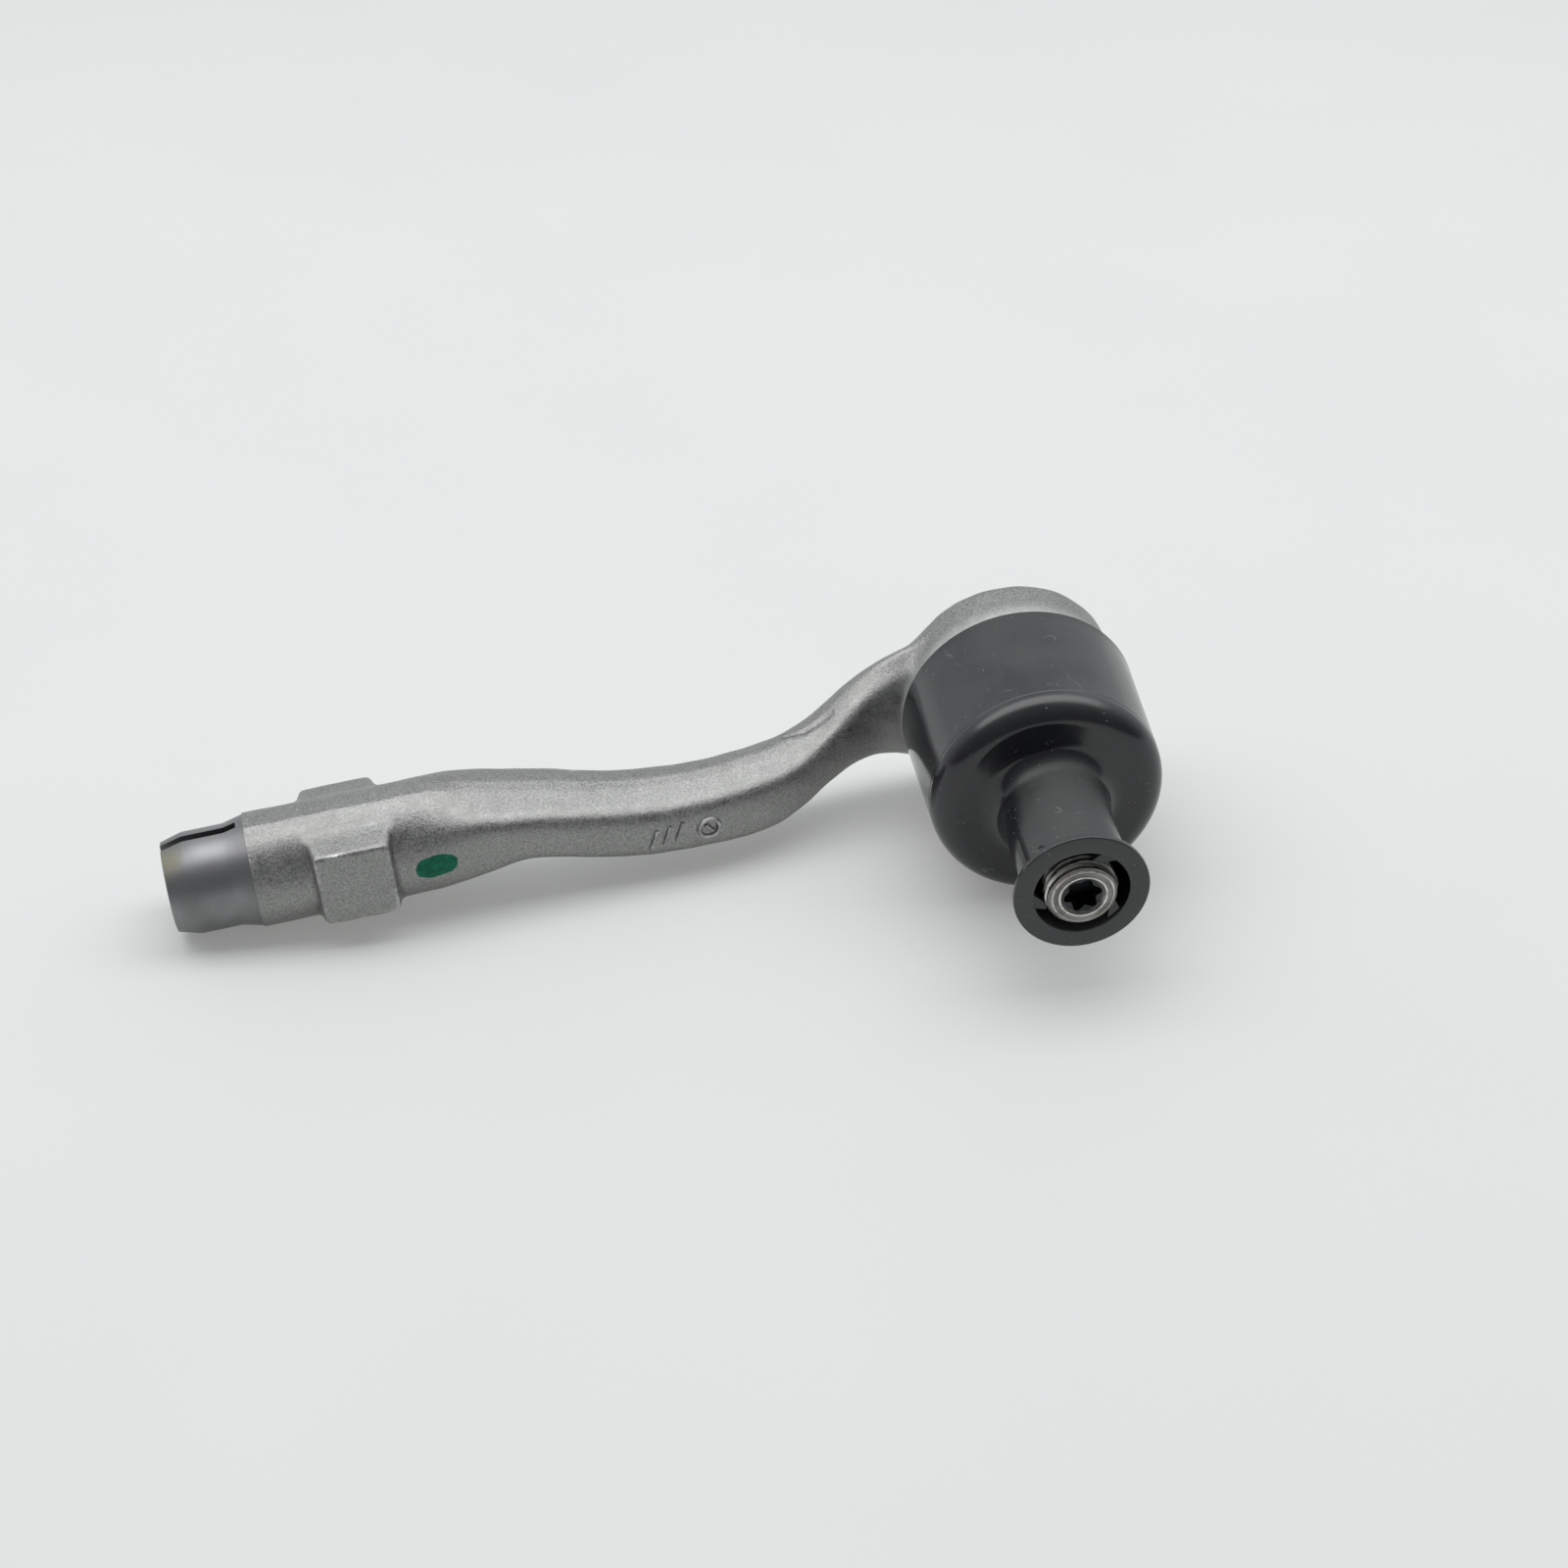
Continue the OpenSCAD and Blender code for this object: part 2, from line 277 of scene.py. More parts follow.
def quads(rings, sides, closed):
    """Faces between each ring of points and the next, and back to the first if closed."""
    faces = []
    for i in range(rings if closed else rings - 1):
        j = (i + 1) % rings
        for k in range(sides):
            n = (k + 1) % sides
            faces.append((i * sides + k, i * sides + n, j * sides + n, j * sides + k))
    return faces


def caps(rings, sides):
    """Flat faces over the first ring and the last."""
    return [tuple(range(sides))[::-1], tuple(range((rings - 1) * sides, rings * sides))]


def turned(name, outline, place=ON_STUD, segments=144, shape=None, material_index=0):
    """Solid of revolution. The outline runs from axis to axis, or round a closed ring.
    shape(angle, s, r) returns the radius at that angle where the piece isn't round."""
    solid = abs(outline[0][0]) < 1e-6 and abs(outline[-1][0]) < 1e-6
    rows = outline[1:-1] if solid else outline
    r = np.array([p[0] for p in rows])[:, None]
    s = np.array([p[1] for p in rows])[:, None]
    angle = np.linspace(0, 2 * math.pi, segments, endpoint=False)[None, :]
    radius = shape(angle, s, r) if shape else r + 0 * angle
    points = np.stack([radius * np.cos(angle), radius * np.sin(angle), s + 0 * angle], -1)
    points = points.reshape(-1, 3)
    faces = quads(len(rows), segments, closed=not solid)
    if solid:
        points = np.vstack([points, [0, 0, outline[0][1]], [0, 0, outline[-1][1]]])
        first = len(points) - 2
        last_row = first - segments
        for k in range(segments):
            n = (k + 1) % segments
            faces += [(first, n, k), (first + 1, last_row + k, last_row + n)]
    return closed_mesh(name, points, faces, place, material_index)


def closed_mesh(name, points, faces, place=None, material_index=0):
    """Object from points in millimetres and faces, with every face turned outwards.
    The place is the matrix that takes the points into the CAD frame."""
    mesh = bpy.data.meshes.new(name)
    mesh.from_pydata((np.array(points) * MM).tolist(), [], faces)
    if place:
        mesh.transform(place)
    bm = bmesh.new()
    bm.from_mesh(mesh)
    bmesh.ops.recalc_face_normals(bm, faces=bm.faces)
    for face in bm.faces:
        face.material_index = material_index
    bm.to_mesh(mesh)
    bm.free()
    return new_object(name, mesh)


def prism(name, outline, low, high, place, material_index=0):
    """Closed prism of an (x, y) outline between two heights."""
    points = [(x, y, z) for z in (low, high) for x, y in outline]
    faces = caps(2, len(outline)) + quads(2, len(outline), closed=False)
    return closed_mesh(name, points, faces, place, material_index)


def combine(body, tool, operation):
    """Boolean with the tool, which is then deleted."""
    step = body.modifiers.new("cut", "BOOLEAN")
    step.operation = operation
    step.solver = "MANIFOLD"
    step.object = tool
    graph = bpy.context.evaluated_depsgraph_get()
    spent = (body.data, tool.data)
    body.data = bpy.data.meshes.new_from_object(body.evaluated_get(graph))
    body.modifiers.clear()
    bpy.data.objects.remove(tool)
    for mesh in spent:
        bpy.data.meshes.remove(mesh)


def weld(mesh):
    """Merges the vertices that booleans leave all but touching, and drops faces without area."""
    bm = bmesh.new()
    bm.from_mesh(mesh)
    bmesh.ops.remove_doubles(bm, verts=bm.verts, dist=WELD * MM)
    bmesh.ops.dissolve_degenerate(bm, edges=bm.edges, dist=WELD * MM)
    bm.to_mesh(mesh)
    bm.free()


def finished(obj, body, stands_for, materials, angle=38):
    """Gives a piece its materials, sharp edges past the angle, and its body where it has
    just one, and hides the CAD node that it stands for."""
    slots = obj.data.materials
    for i, material in enumerate(materials):
        if i < len(slots):
            slots[i] = material
        else:
            slots.append(material)
    weld(obj.data)
    obj.data.shade_smooth()
    obj.data.set_sharp_from_angle(angle=math.radians(angle))
    if body:
        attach(obj, body)
    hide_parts(stands_for)
    return obj


# ---- implicit arm

def dot(axis, x, y, z):
    return axis[0] * x + axis[1] * y + axis[2] * z


def smooth_min(a, b, k):
    h = np.clip(0.5 + 0.5 * (b - a) / k, 0, 1)
    return b + (a - b) * h - k * h * (1 - h)


def smooth_max(a, b, k):
    return -smooth_min(-a, -b, k)


def smooth_step(x, low, high):
    t = np.clip((x - low) / (high - low), 0, 1)
    return t * t * (3 - 2 * t)


def measure_arm():
    """Middle and half size, in Y and in Z, of the CAD arm at stations along X."""
    mesh = frame["nodes"]["arm_forging"].data
    co = np.zeros(len(mesh.vertices) * 3)
    mesh.vertices.foreach_get("co", co)
    co = co.reshape(-1, 3) / MM
    ends = np.zeros(len(mesh.edges) * 2, int)
    mesh.edges.foreach_get("vertices", ends)
    a, b = co[ends[0::2]], co[ends[1::2]]
    stations = np.arange(ARM_FROM, ARM_TO + STATION / 2, STATION)
    rows = []
    for x in stations:
        hit = (a[:, 0] - x) * (b[:, 0] - x) < 0
        t = ((x - a[hit, 0]) / (b[hit, 0] - a[hit, 0]))[:, None]
        yz = (a[hit] + (b[hit] - a[hit]) * t)[:, 1:]
        low, high = yz.min(0), yz.max(0)
        rows.append(np.concatenate([(low + high) / 2, (high - low) / 2]))
    rows = np.array(rows)
    for place, reach, rise, drop, forwards in SWELLS:
        share = np.exp(-((stations - place) / reach) ** 2) / 2
        rows[:, 0] -= forwards * share
        rows[:, 1] += (rise - drop) * share
        rows[:, 2] += forwards * share
        rows[:, 3] += (rise + drop) * share
    extra = (ARM_END - stations[-1]) / STATION
    rows = np.vstack([rows, rows[-1] + (rows[-1] - rows[-2]) * extra])
    return np.append(stations, ARM_END), rows


def smoothed_arm():
    """The stations resampled finely, without the kinks between the CAD's flat facets."""
    stations, rows = measure_arm()
    fine = np.arange(ARM_FROM, ARM_END + ARM_STEP / 2, ARM_STEP)
    reach = KERNEL_REACH
    kernel = np.exp(-0.5 * (np.arange(-reach, reach + 1) / KERNEL_WIDTH) ** 2)
    kernel /= kernel.sum()
    columns = []
    for column in rows.T:
        values = np.interp(fine, stations, column)
        padded = np.concatenate([2 * values[0] - values[reach:0:-1], values,
                                 2 * values[-1] - values[-2:-reach - 2:-1]])
        columns.append(np.convolve(padded, kernel, "valid"))
    return fine, np.array(columns)


ARM_X, ARM_ROWS = smoothed_arm()
ARM_SLOPES = np.gradient(ARM_ROWS[:2], ARM_STEP, axis=1)


def arm_section(x, y, z):
    """Distance to the arm: a flat-sided section with a ridge and a trace of flash above
    and below."""
    mid_y, mid_z, half_y, half_z = (np.interp(x, ARM_X, row) for row in ARM_ROWS)
    lean_y, lean_z = (np.interp(x, ARM_X, row) for row in ARM_SLOPES)
    cos_y = 1 / np.sqrt(1 + lean_y ** 2)
    cos_z = 1 / np.sqrt(1 + lean_z ** 2)
    half_u, half_v = half_y * cos_y, half_z * cos_z
    u = (y - mid_y) * cos_y
    v = np.sqrt(((z - mid_z) * cos_z) ** 2 + RIDGE_SOFT)
    field = None
    for side in (-1, 1):
        crest = CREST_V_BACK if side > 0 else CREST_V_FRONT
        corners = ((RIDGE_U, 1.0), (side * CREST_U, crest), (side, WAIST_V), (side, 0.0))
        for (u0, v0), (u1, v1) in zip(corners, corners[1:]):
            du, dv = (u1 - u0) * half_u, (v1 - v0) * half_v
            length = np.sqrt(du * du + dv * dv)
            gap = side * ((v - v0 * half_v) * du - (u - u0 * half_u) * dv) / length
            field = gap if field is None else smooth_max(field, gap, SECTION_ROUND)
    flash = FLASH_H * np.exp(-((u - RIDGE_U * half_u) / FLASH_HALF_W) ** 2)
    return np.maximum(field - flash, x - ARM_END)


def tube_field(x, y, z):
    """The round tube, with the low ridge that the dies' draft leaves along its top."""
    crest = TUBE_UP * math.cos(RIDGE_LEAN) + TUBE_BACK * math.sin(RIDGE_LEAN)
    side = np.cross(crest, TUBE_AXIS)
    along, up = dot(TUBE_AXIS, x, y, z), dot(crest, x, y, z)
    across = np.abs(dot(side, x, y, z))
    roof = up * math.cos(RIDGE_TILT) + across * math.sin(RIDGE_TILT)
    on_roof = across < up * math.tan(RIDGE_TILT)
    return np.where(on_roof, roof, np.sqrt(up * up + across * across)) - TUBE_R, along


def pad_field(x, y, z):
    """Two drafted pads with rounded edges, mirror images across the tube's axis."""
    along, out = dot(TUBE_AXIS, x, y, z), dot(PAD_OUT, x, y, z)
    middle = np.where(out < 0, PAD_MID + REAR_PAD_SHIFT, PAD_MID)
    out = np.abs(out)
    up = np.abs(dot(PAD_UP, x, y, z))
    flare = PAD_DRAFT * np.clip(FLAT_HALF - out, 0, PAD_DEEP)
    ends = (np.abs(along - middle) - PAD_HALF_LEN - flare) / math.sqrt(1 + PAD_DRAFT ** 2)
    sides = (up - PAD_HALF_H - flare) / math.sqrt(1 + PAD_DRAFT ** 2)
    field = smooth_max(smooth_max(ends, sides, PAD_CORNER), out - FLAT_HALF, PAD_EDGE)
    return np.maximum(field, PAD_ROOT - out)


def housing_field(x, y, z):
    """Round housing whose wall bulges a little between its front and its back."""
    radius = np.sqrt(x * x + z * z)
    middle = (HOUSING_BACK + HOUSING_FROM) / 2
    belly = HOUSING_BELLY * ((y - middle) / HOUSING_BACK) ** 2
    back = smooth_max(radius - HOUSING_R + belly, y - HOUSING_BACK, HOUSING_EDGE)
    return np.maximum(back, HOUSING_FROM - y)


def undulation(x, y, z):
    """The slow unevenness of a forged surface."""
    slow = np.sin(0.31 * x + 0.9 * np.sin(0.23 * z)) * np.sin(0.27 * y + 0.35 * z + 1.1)
    quick = np.sin(0.83 * x + 0.47 * z) * np.sin(0.71 * z - 0.52 * y + 0.6)
    return SLOW_WAVE * slow + QUICK_WAVE * quick


def lap_field(x, y, z):
    """Height of the fold that forging has left where the arm bends up to the housing."""
    near = FAR
    for a, b in zip(LAP_LINE, LAP_LINE[1:]):
        run = b - a
        px, py, pz = x - a[0], y - a[1], z - a[2]
        share = np.clip(dot(run, px, py, pz) / float(run @ run), 0, 1)
        px, py, pz = px - share * run[0], py - share * run[1], pz - share * run[2]
        near = np.minimum(near, np.sqrt(px * px + py * py + pz * pz))
    middle = LAP_LINE.mean(0)
    reach = np.sqrt((x - middle[0]) ** 2 + (y - middle[1]) ** 2 + (z - middle[2]) ** 2)
    fade = 1 - smooth_step(reach, *LAP_FADE)
    # the lip stands only above the path's last stretch
    lip = smooth_step(pz, 0.0, LIP_HALF_W * 2 / 3) * np.exp(-((near - LIP_AWAY) / LIP_HALF_W) ** 2)
    return fade * LAP_DEPTH * (np.exp(-(near / LAP_HALF_W) ** 2) - LIP_SHARE * lip)


def plain_field(x, y, z):
    """The forging without its fold: tube, arm, pads and housing run into each other."""
    tube, along = tube_field(x, y, z)
    arm = arm_section(x, y, z)
    weight = smooth_step(x, MORPH_FROM, MORPH_TO)
    rod = np.where(x < MORPH_FROM, tube, tube * (1 - weight) + arm * weight)
    rod = np.maximum(rod, along - TUBE_LEN - END_SPARE)
    rod = smooth_min(rod, pad_field(x, y, z), PAD_BLEND)
    field = smooth_min(rod, housing_field(x, y, z), HOUSING_BLEND)
    field = np.maximum(field, np.where(x * x + z * z < FACE_R ** 2, FACE_Y - y, -FAR))
    return field + undulation(x, y, z)


def forging_field(x, y, z):
    """Distance to the forging, below zero inside it."""
    return smooth_max(plain_field(x, y, z) + lap_field(x, y, z), y - HOUSING_BACK, BACK_EDGE)


def surface_net(field, xs, ys, zs):
    """Mesh of the field's zero surface: a vertex in each cell that it crosses, and a quad
    across each grid edge that it crosses."""
    inside = (field < 0).astype(np.int8)
    count = sum(inside[i:i - 1 or None, j:j - 1 or None, k:k - 1 or None]
                for i in (0, 1) for j in (0, 1) for k in (0, 1))
    cells = np.argwhere((count > 0) & (count < 8))
    index = -np.ones(count.shape, int)
    index[tuple(cells.T)] = np.arange(len(cells))
    total = np.zeros((len(cells), 3))
    hits = np.zeros(len(cells))
    faces = []
    for axis in range(3):
        side = [a for a in range(3) if a != axis]
        for i in (0, 1):
            for j in (0, 1):
                corner = cells.copy()
                corner[:, side[0]] += i
                corner[:, side[1]] += j
                far = corner.copy()
                far[:, axis] += 1
                f0, f1 = field[tuple(corner.T)], field[tuple(far.T)]
                cross = (f0 < 0) != (f1 < 0)
                t = np.where(cross, f0 / np.where(cross, f0 - f1, 1), 0)
                point = corner.astype(float)
                point[:, axis] += t
                total[cross] += point[cross]
                hits[cross] += 1
        low = [slice(None)] * 3
        high = [slice(None)] * 3
        low[axis], high[axis] = slice(None, -1), slice(1, None)
        change = np.argwhere(inside[tuple(low)] != inside[tuple(high)])
        ring = []
        for i, j in ((-1, -1), (0, -1), (0, 0), (-1, 0)):
            cell = change.copy()
            cell[:, side[0]] += i
            cell[:, side[1]] += j
            ring.append(index[tuple(cell.T)])
        loops = np.stack(ring, 1)
        flip = (inside[tuple(change.T)] == 1) != (axis == 1)
        loops[~flip] = loops[~flip][:, ::-1]
        faces.append(loops)
    cell_point = total / hits[:, None]
    low = np.array([xs[0], ys[0], zs[0]])
    return low + cell_point * GRID_STEP, np.vstack(faces)


def slope_at(points, field, probe):
    """The field's slope at each point."""
    return np.stack([field(*(points + step).T) - field(*(points - step).T)
                     for step in np.eye(3) * probe], 1) / (2 * probe)


def settle(points, field, rounds=2, probe=0.05, least_slope=0.2, stride=0.3):
    """Moves the points onto the field's zero surface along its slope."""
    for _ in range(rounds):
        slope = slope_at(points, field, probe)
        steep = np.maximum((slope ** 2).sum(1), least_slope)
        move = np.clip(field(*points.T) / steep, -stride, stride)
        points = points - slope * move[:, None]
    return points


LAP_LINE = settle(np.array(LAP_PATH), plain_field, 30)


def raw_forging():
    """The forging's skin before any machining."""
    low, high = node_box("arm_forging")
    xs, ys, zs = (np.arange(a - GRID_MARGIN, b + GRID_MARGIN, GRID_STEP)
                  for a, b in zip(low, high))
    field = forging_field(xs[:, None, None], ys[None, :, None], zs[None, None, :])
    points, faces = surface_net(field, xs, ys, zs)
    points = settle(points, forging_field)
    mesh = bpy.data.meshes.new("forging")
    mesh.from_pydata((points * MM).tolist(), [], faces.tolist())
    mesh.update()
    return new_object("forging", mesh)


# ---- forged body cuts

def thread_shape(wall, first, last, sense):
    """Radius of a helical thread between two places along the axis, cut into a bore's
    wall where the sense is 1 and into a shank where it is -1."""
    def shape(angle, s, r):
        phase = (s / THREAD_PITCH - angle / (2 * math.pi)) % 1.0
        ramp = np.clip((np.abs(phase - 0.5) - THREAD_LAND) / THREAD_FLANK, 0, 1)
        fade = smooth_step(s, first, first + 1.2) * (1 - smooth_step(s, last - 0.9, last))
        on_wall = np.abs(r - wall) < 0.02
        return r + sense * THREAD_DEPTH * ramp * fade * on_wall
    return shape


def clamp_cutter():
    """Air round the turned end of the tube: a cone down to the clamp's seat, then a lead."""
    clear_r = TUBE_R + 6
    clear_s = TUBE_LEN + 4
    outline = rounded([
        (0, TUBE_LEN), (CLAMP_R - LEAD_DROP, TUBE_LEN, 0.3), (CLAMP_R, TUBE_LEN - LEAD_LEN, 4.0),
        (CLAMP_R, STEP_AT + STEP_LEN, 4.0), (TUBE_R - TURNED_STEP, STEP_AT),
        (clear_r, STEP_AT - 1), (clear_r, clear_s), (0, clear_s)], closed=False)
    return turned("clamp_end", outline, ON_TUBE, material_index=1)


def bore_cutter():
    """The threaded bore, with the drill's tip at its end and a chamfered mouth."""
    start = TUBE_LEN - BORE_LEN
    mouth_r = BORE_R + MOUTH_CHAMFER
    wall = resample([(BORE_R, start), (BORE_R, TUBE_LEN - MOUTH_CHAMFER)], THREAD_PITCH / 8)
    outline = [(0, start - DRILL_TIP)] + wall + [
        (mouth_r, TUBE_LEN), (mouth_r, TUBE_LEN + 2), (0, TUBE_LEN + 2)]
    shape = thread_shape(BORE_R, start + 2, TUBE_LEN + 1.5, 1)
    return turned("bore", outline, ON_TUBE, 72, shape, material_index=1)


def slot_cutter():
    """One slab through both walls of the clamping end."""
    half, reach = SLOT_W / 2, TUBE_R + 2
    outline = [(-reach, -half), (reach, -half), (reach, half), (-reach, half)]
    turn = Matrix.Rotation(math.radians(SLOT_ROLL), 4, "Z")
    low = TUBE_LEN - CLAMP_LEN - SLOT_RUN
    return prism("slot", outline, low, TUBE_LEN + 2, ON_TUBE @ turn, material_index=1)


def front_collar():
    """Turned front of the housing, with the boot's groove."""
    root = BAND_R - 1.5
    groove_end = GROOVE_S + GROOVE_W
    outline = rounded([
        (0, -9), (root, -9), (root, -3), (BAND_R, TURNED_FROM - 0.4), (BAND_R, BAND_END, 0.3),
        (COLLAR_R, 3.4, 0.5), (COLLAR_R, GROOVE_S, 0.2), (GROOVE_R, GROOVE_S, 0.3),
        (GROOVE_R, groove_end, 0.3), (NOSE_R, groove_end, 0.2), (NOSE_R, HOUSING_FRONT - 0.6, 0.3),
        (NOSE_R - 0.6, HOUSING_FRONT, 0.2), (0, HOUSING_FRONT)], closed=False)
    return turned("front_collar", outline, material_index=1)


def outside_cutter():
    """Ring of air round the turned front, which faces the forging back to the band."""
    clear_r, clear_s = HOUSING_R + 4.1, HOUSING_FRONT + 5
    back = TURNED_FROM - 0.4
    outline = [(BAND_R - 0.4, clear_s), (BAND_R, BAND_END), (BAND_R, TURNED_FROM),
               (HOUSING_R + 0.2, back), (clear_r, back), (clear_r, clear_s)]
    return turned("outside", outline, material_index=1)


def cavity_cutter():
    """Room for the seat, the load ring and the cover, with the rolled lip behind."""
    back, front = -HOUSING_BACK - 1, HOUSING_FRONT + 1
    lip_edge = LIP_R + 0.5
    mouth_r = NOSE_BORE_R + 1.8
    outline = rounded([
        (0, back), (lip_edge, back), (lip_edge, -HOUSING_BACK + 0.05),
        (LIP_R, -HOUSING_BACK + 0.5, 0.2), (LIP_R, COVER_BACK), (COVER_BORE_R, COVER_BACK),
        (COVER_BORE_R, COVER_FRONT), (SEAT_BORE_R, COVER_FRONT), (SEAT_BORE_R, 1.0, 0.4),
        (SEAT_BORE_R - 2.6, NOSE_BORE_S, 0.3), (NOSE_BORE_R, NOSE_BORE_S, 0.3),
        (mouth_r, HOUSING_FRONT, 0.3), (mouth_r, front), (0, front)], closed=False)
    return turned("cavity", outline, material_index=1)


def skin_bead(path, closed):
    """Low bead that follows the forging's skin along a path of points near it."""
    points = settle(np.array(path, float), forging_field, 30)
    out = slope_at(points, forging_field, MARK_PROBE)
    out /= np.linalg.norm(out, axis=1)[:, None]
    if closed:
        run = np.roll(points, -1, 0) - np.roll(points, 1, 0)
    else:
        run = np.gradient(points, axis=0)
    side = np.cross(out, run)
    side *= MARK_HALF_W / np.linalg.norm(side, axis=1)[:, None]
    rows = np.stack([points + side * across + out * high for across, high in MARK_SECTION], 1)
    faces = quads(len(points), len(MARK_SECTION), closed)
    if not closed:
        faces += caps(len(points), len(MARK_SECTION))
    return closed_mesh("bead", rows.reshape(-1, 3), faces)


def raised_marks():
    """A plain ring with a bar across it, and three slanting bars, on the arm's front."""
    turn = np.linspace(0, 2 * math.pi, 32, endpoint=False)[:, None]
    ring = MARK_RING + MARK_RING_R * np.hstack([np.cos(turn), 0 * turn, np.sin(turn)])
    pieces = [skin_bead(ring, True)]
    share = np.linspace(-0.5, 0.5, 9)[:, None]
    for spot, slant, length in MARK_BARS:
        way = (math.sin(math.radians(slant)), 0, math.cos(math.radians(slant)))
        pieces.append(skin_bead(spot + share * length * np.array(way), False))
    return pieces


def forging(cast, machined):
    """The whole forging. Each face keeps the material of the solid that it came from."""
    body = raw_forging()
    cut, join = "DIFFERENCE", "UNION"
    tools = [(outside_cutter(), cut), (front_collar(), join), (clamp_cutter(), cut),
             (cavity_cutter(), cut), (bore_cutter(), cut), (slot_cutter(), cut)]
    tools += [(mark, join) for mark in raised_marks()]
    for obj in [body] + [tool for tool, operation in tools]:
        obj.data.materials.append(cast)
        obj.data.materials.append(machined)
    for tool, operation in tools:
        combine(body, tool, operation)
    return body


# ---- ball joint

STUD_TIP = -float(node_box("ball_stud")[0][1])
BALL_R = float(node_box("ball_stud")[1][0])
BALL_FLAT = 11.2
WAIST_R = 6.9
TAPER_R = 8.1
TAPER_END_R = 7.4
TAPER_FROM = 29.0
THREAD_R = 7.0
THREAD_FROM = 46.5
UNDERCUT_R = 5.9
SOCKET_R = 3.2
SOCKET_LOBE = 0.48
SOCKET_DEPTH = 5.0
SOCKET_TURN = 13.0


def stud():
    """Ball, waist, taper and thread, with a six-lobe socket in the tip."""
    root_r = WAIST_R + 0.6
    thread_end = STUD_TIP - 1.5
    ball = arc((0, 0), BALL_R, -math.degrees(math.asin(BALL_FLAT / BALL_R)),
               math.degrees(math.acos(root_r / BALL_R)), 44)
    shank = rounded([
        (root_r, ball[-1][1]), (WAIST_R, 12.2, 1.5), (WAIST_R, 17, 3),
        (TAPER_R + 0.2, 21.5, 1.2), (TAPER_R + 0.2, TAPER_FROM, 0.15),
        (TAPER_R, TAPER_FROM + 0.2, 0.1), (TAPER_END_R, THREAD_FROM - 2, 0.4),
        (UNDERCUT_R, THREAD_FROM - 1.4, 0.4), (UNDERCUT_R, THREAD_FROM - 0.6, 0.3),
        (THREAD_R, THREAD_FROM + 0.4)], closed=False)
    thread = resample([(THREAD_R, THREAD_FROM + 0.4), (THREAD_R, thread_end)], THREAD_PITCH / 10)
    tip = rounded([
        (THREAD_R, thread_end), (THREAD_R, STUD_TIP - 1.3), (6.35, STUD_TIP - 0.42, 0.2),
        (6.1, STUD_TIP - 0.42, 0.1), (5.75, STUD_TIP - 0.05, 0.2), (4.75, STUD_TIP - 0.12, 0.2),
        (4.6, STUD_TIP, 0.12), (4.3, STUD_TIP, 0.12), (4.0, STUD_TIP - 0.4, 0.1),
        (2.2, STUD_TIP - 1.1), (0, STUD_TIP - 1.1)], closed=False)
    outline = [(0, -BALL_FLAT)] + ball + shank[1:] + thread[1:] + tip[1:]
    shape = thread_shape(THREAD_R, THREAD_FROM - 0.3, STUD_TIP - 0.2, -1)
    body = turned("stud", outline, shape=shape)
    angle = np.linspace(0, 2 * math.pi, 96, endpoint=False)
    radius = SOCKET_R + SOCKET_LOBE * np.cos(6 * (angle - math.radians(SOCKET_TURN)))
    lobes = list(zip(radius * np.cos(angle), radius * np.sin(angle)))
    socket = prism("socket", lobes, STUD_TIP - SOCKET_DEPTH, STUD_TIP + 1, ON_STUD)
    combine(body, socket, "DIFFERENCE")
    return body


def closing_cover():
    """Pressed disc with a raised middle and a rounded edge."""
    outline = rounded([
        (0, -14.05), (8.6, -14.05, 1.2), (10.2, -13.1, 0.9), (16.6, -13.15, 0.3),
        (17, -12.9, 0.25), (17, -11.8, 0.25), (16.6, -11.75, 0.3), (10.0, -11.75, 0.9),
        (8.4, -12.65, 0.9), (0, -12.65)], closed=False)
    return turned("cover", outline)


def load_ring():
    """Conical spring washer between the seat and the cover."""
    outline = rounded([
        (10.25, -11.35, 0.3), (15.35, -11.6, 0.3), (15.35, -9.95, 0.3), (10.25, -9.7, 0.3)])
    return turned("load_ring", outline)


def seat():
    """Bearing shell round the ball, which it holds on both sides of its middle."""
    inner = arc((0, 0), BALL_R + 0.04, 31, -50, 40)
    outline = rounded([(16.2, -9.6, 0.4), (16.2, 1, 0.5), (13.6, 6.5, 0.4)]) + inner
    return turned("seat", outline)


def slip_ring():
    """Sleeve on which the stud turns inside the boot."""
    outline = rounded([
        (8.36, 22.02, 0.15), (9.28, 22.02, 0.15), (9.28, 28.18, 0.15), (8.36, 28.18, 0.15)])
    return turned("slip_ring", outline)


def dust_boot():
    """Bellows with a gripping foot, one large fold and a collar for the top clip."""
    foot = GROOVE_R + 0.1
    outline = rounded([
        (foot, 6.5, 0.2), (18.72, 6.5, 0.3), (18.72, 8.9, 0.4), (19.1, 10.2, 0.8),
        (20.1, 12.2, 1.5), (20.15, 14.2, 1.6), (19.0, 16.4, 1.2), (17.9, 17.1, 0.6),
        (17.4, 18.4, 1.0), (14.9, 19.7, 0.8), (13.6, 21.4, 1.2), (11.4, 22.6, 0.6),
        (10.9, 23.6, 0.4), (10.9, 26.6, 0.4), (11.4, 27.55, 0.3), (9.36, 27.55, 0.2),
        (9.36, 21.8, 0.8), (12.6, 19.9, 1.0), (16.2, 17.4, 1.0), (18.0, 15.6, 1.0),
        (18.6, 13.4, 1.2), (18.1, 11.5, 0.5), (17.85, 10.6, 0.3), (17.8, 8.95, 0.1),
        (foot, 8.88, 0.2)])
    return turned("bellows", outline)


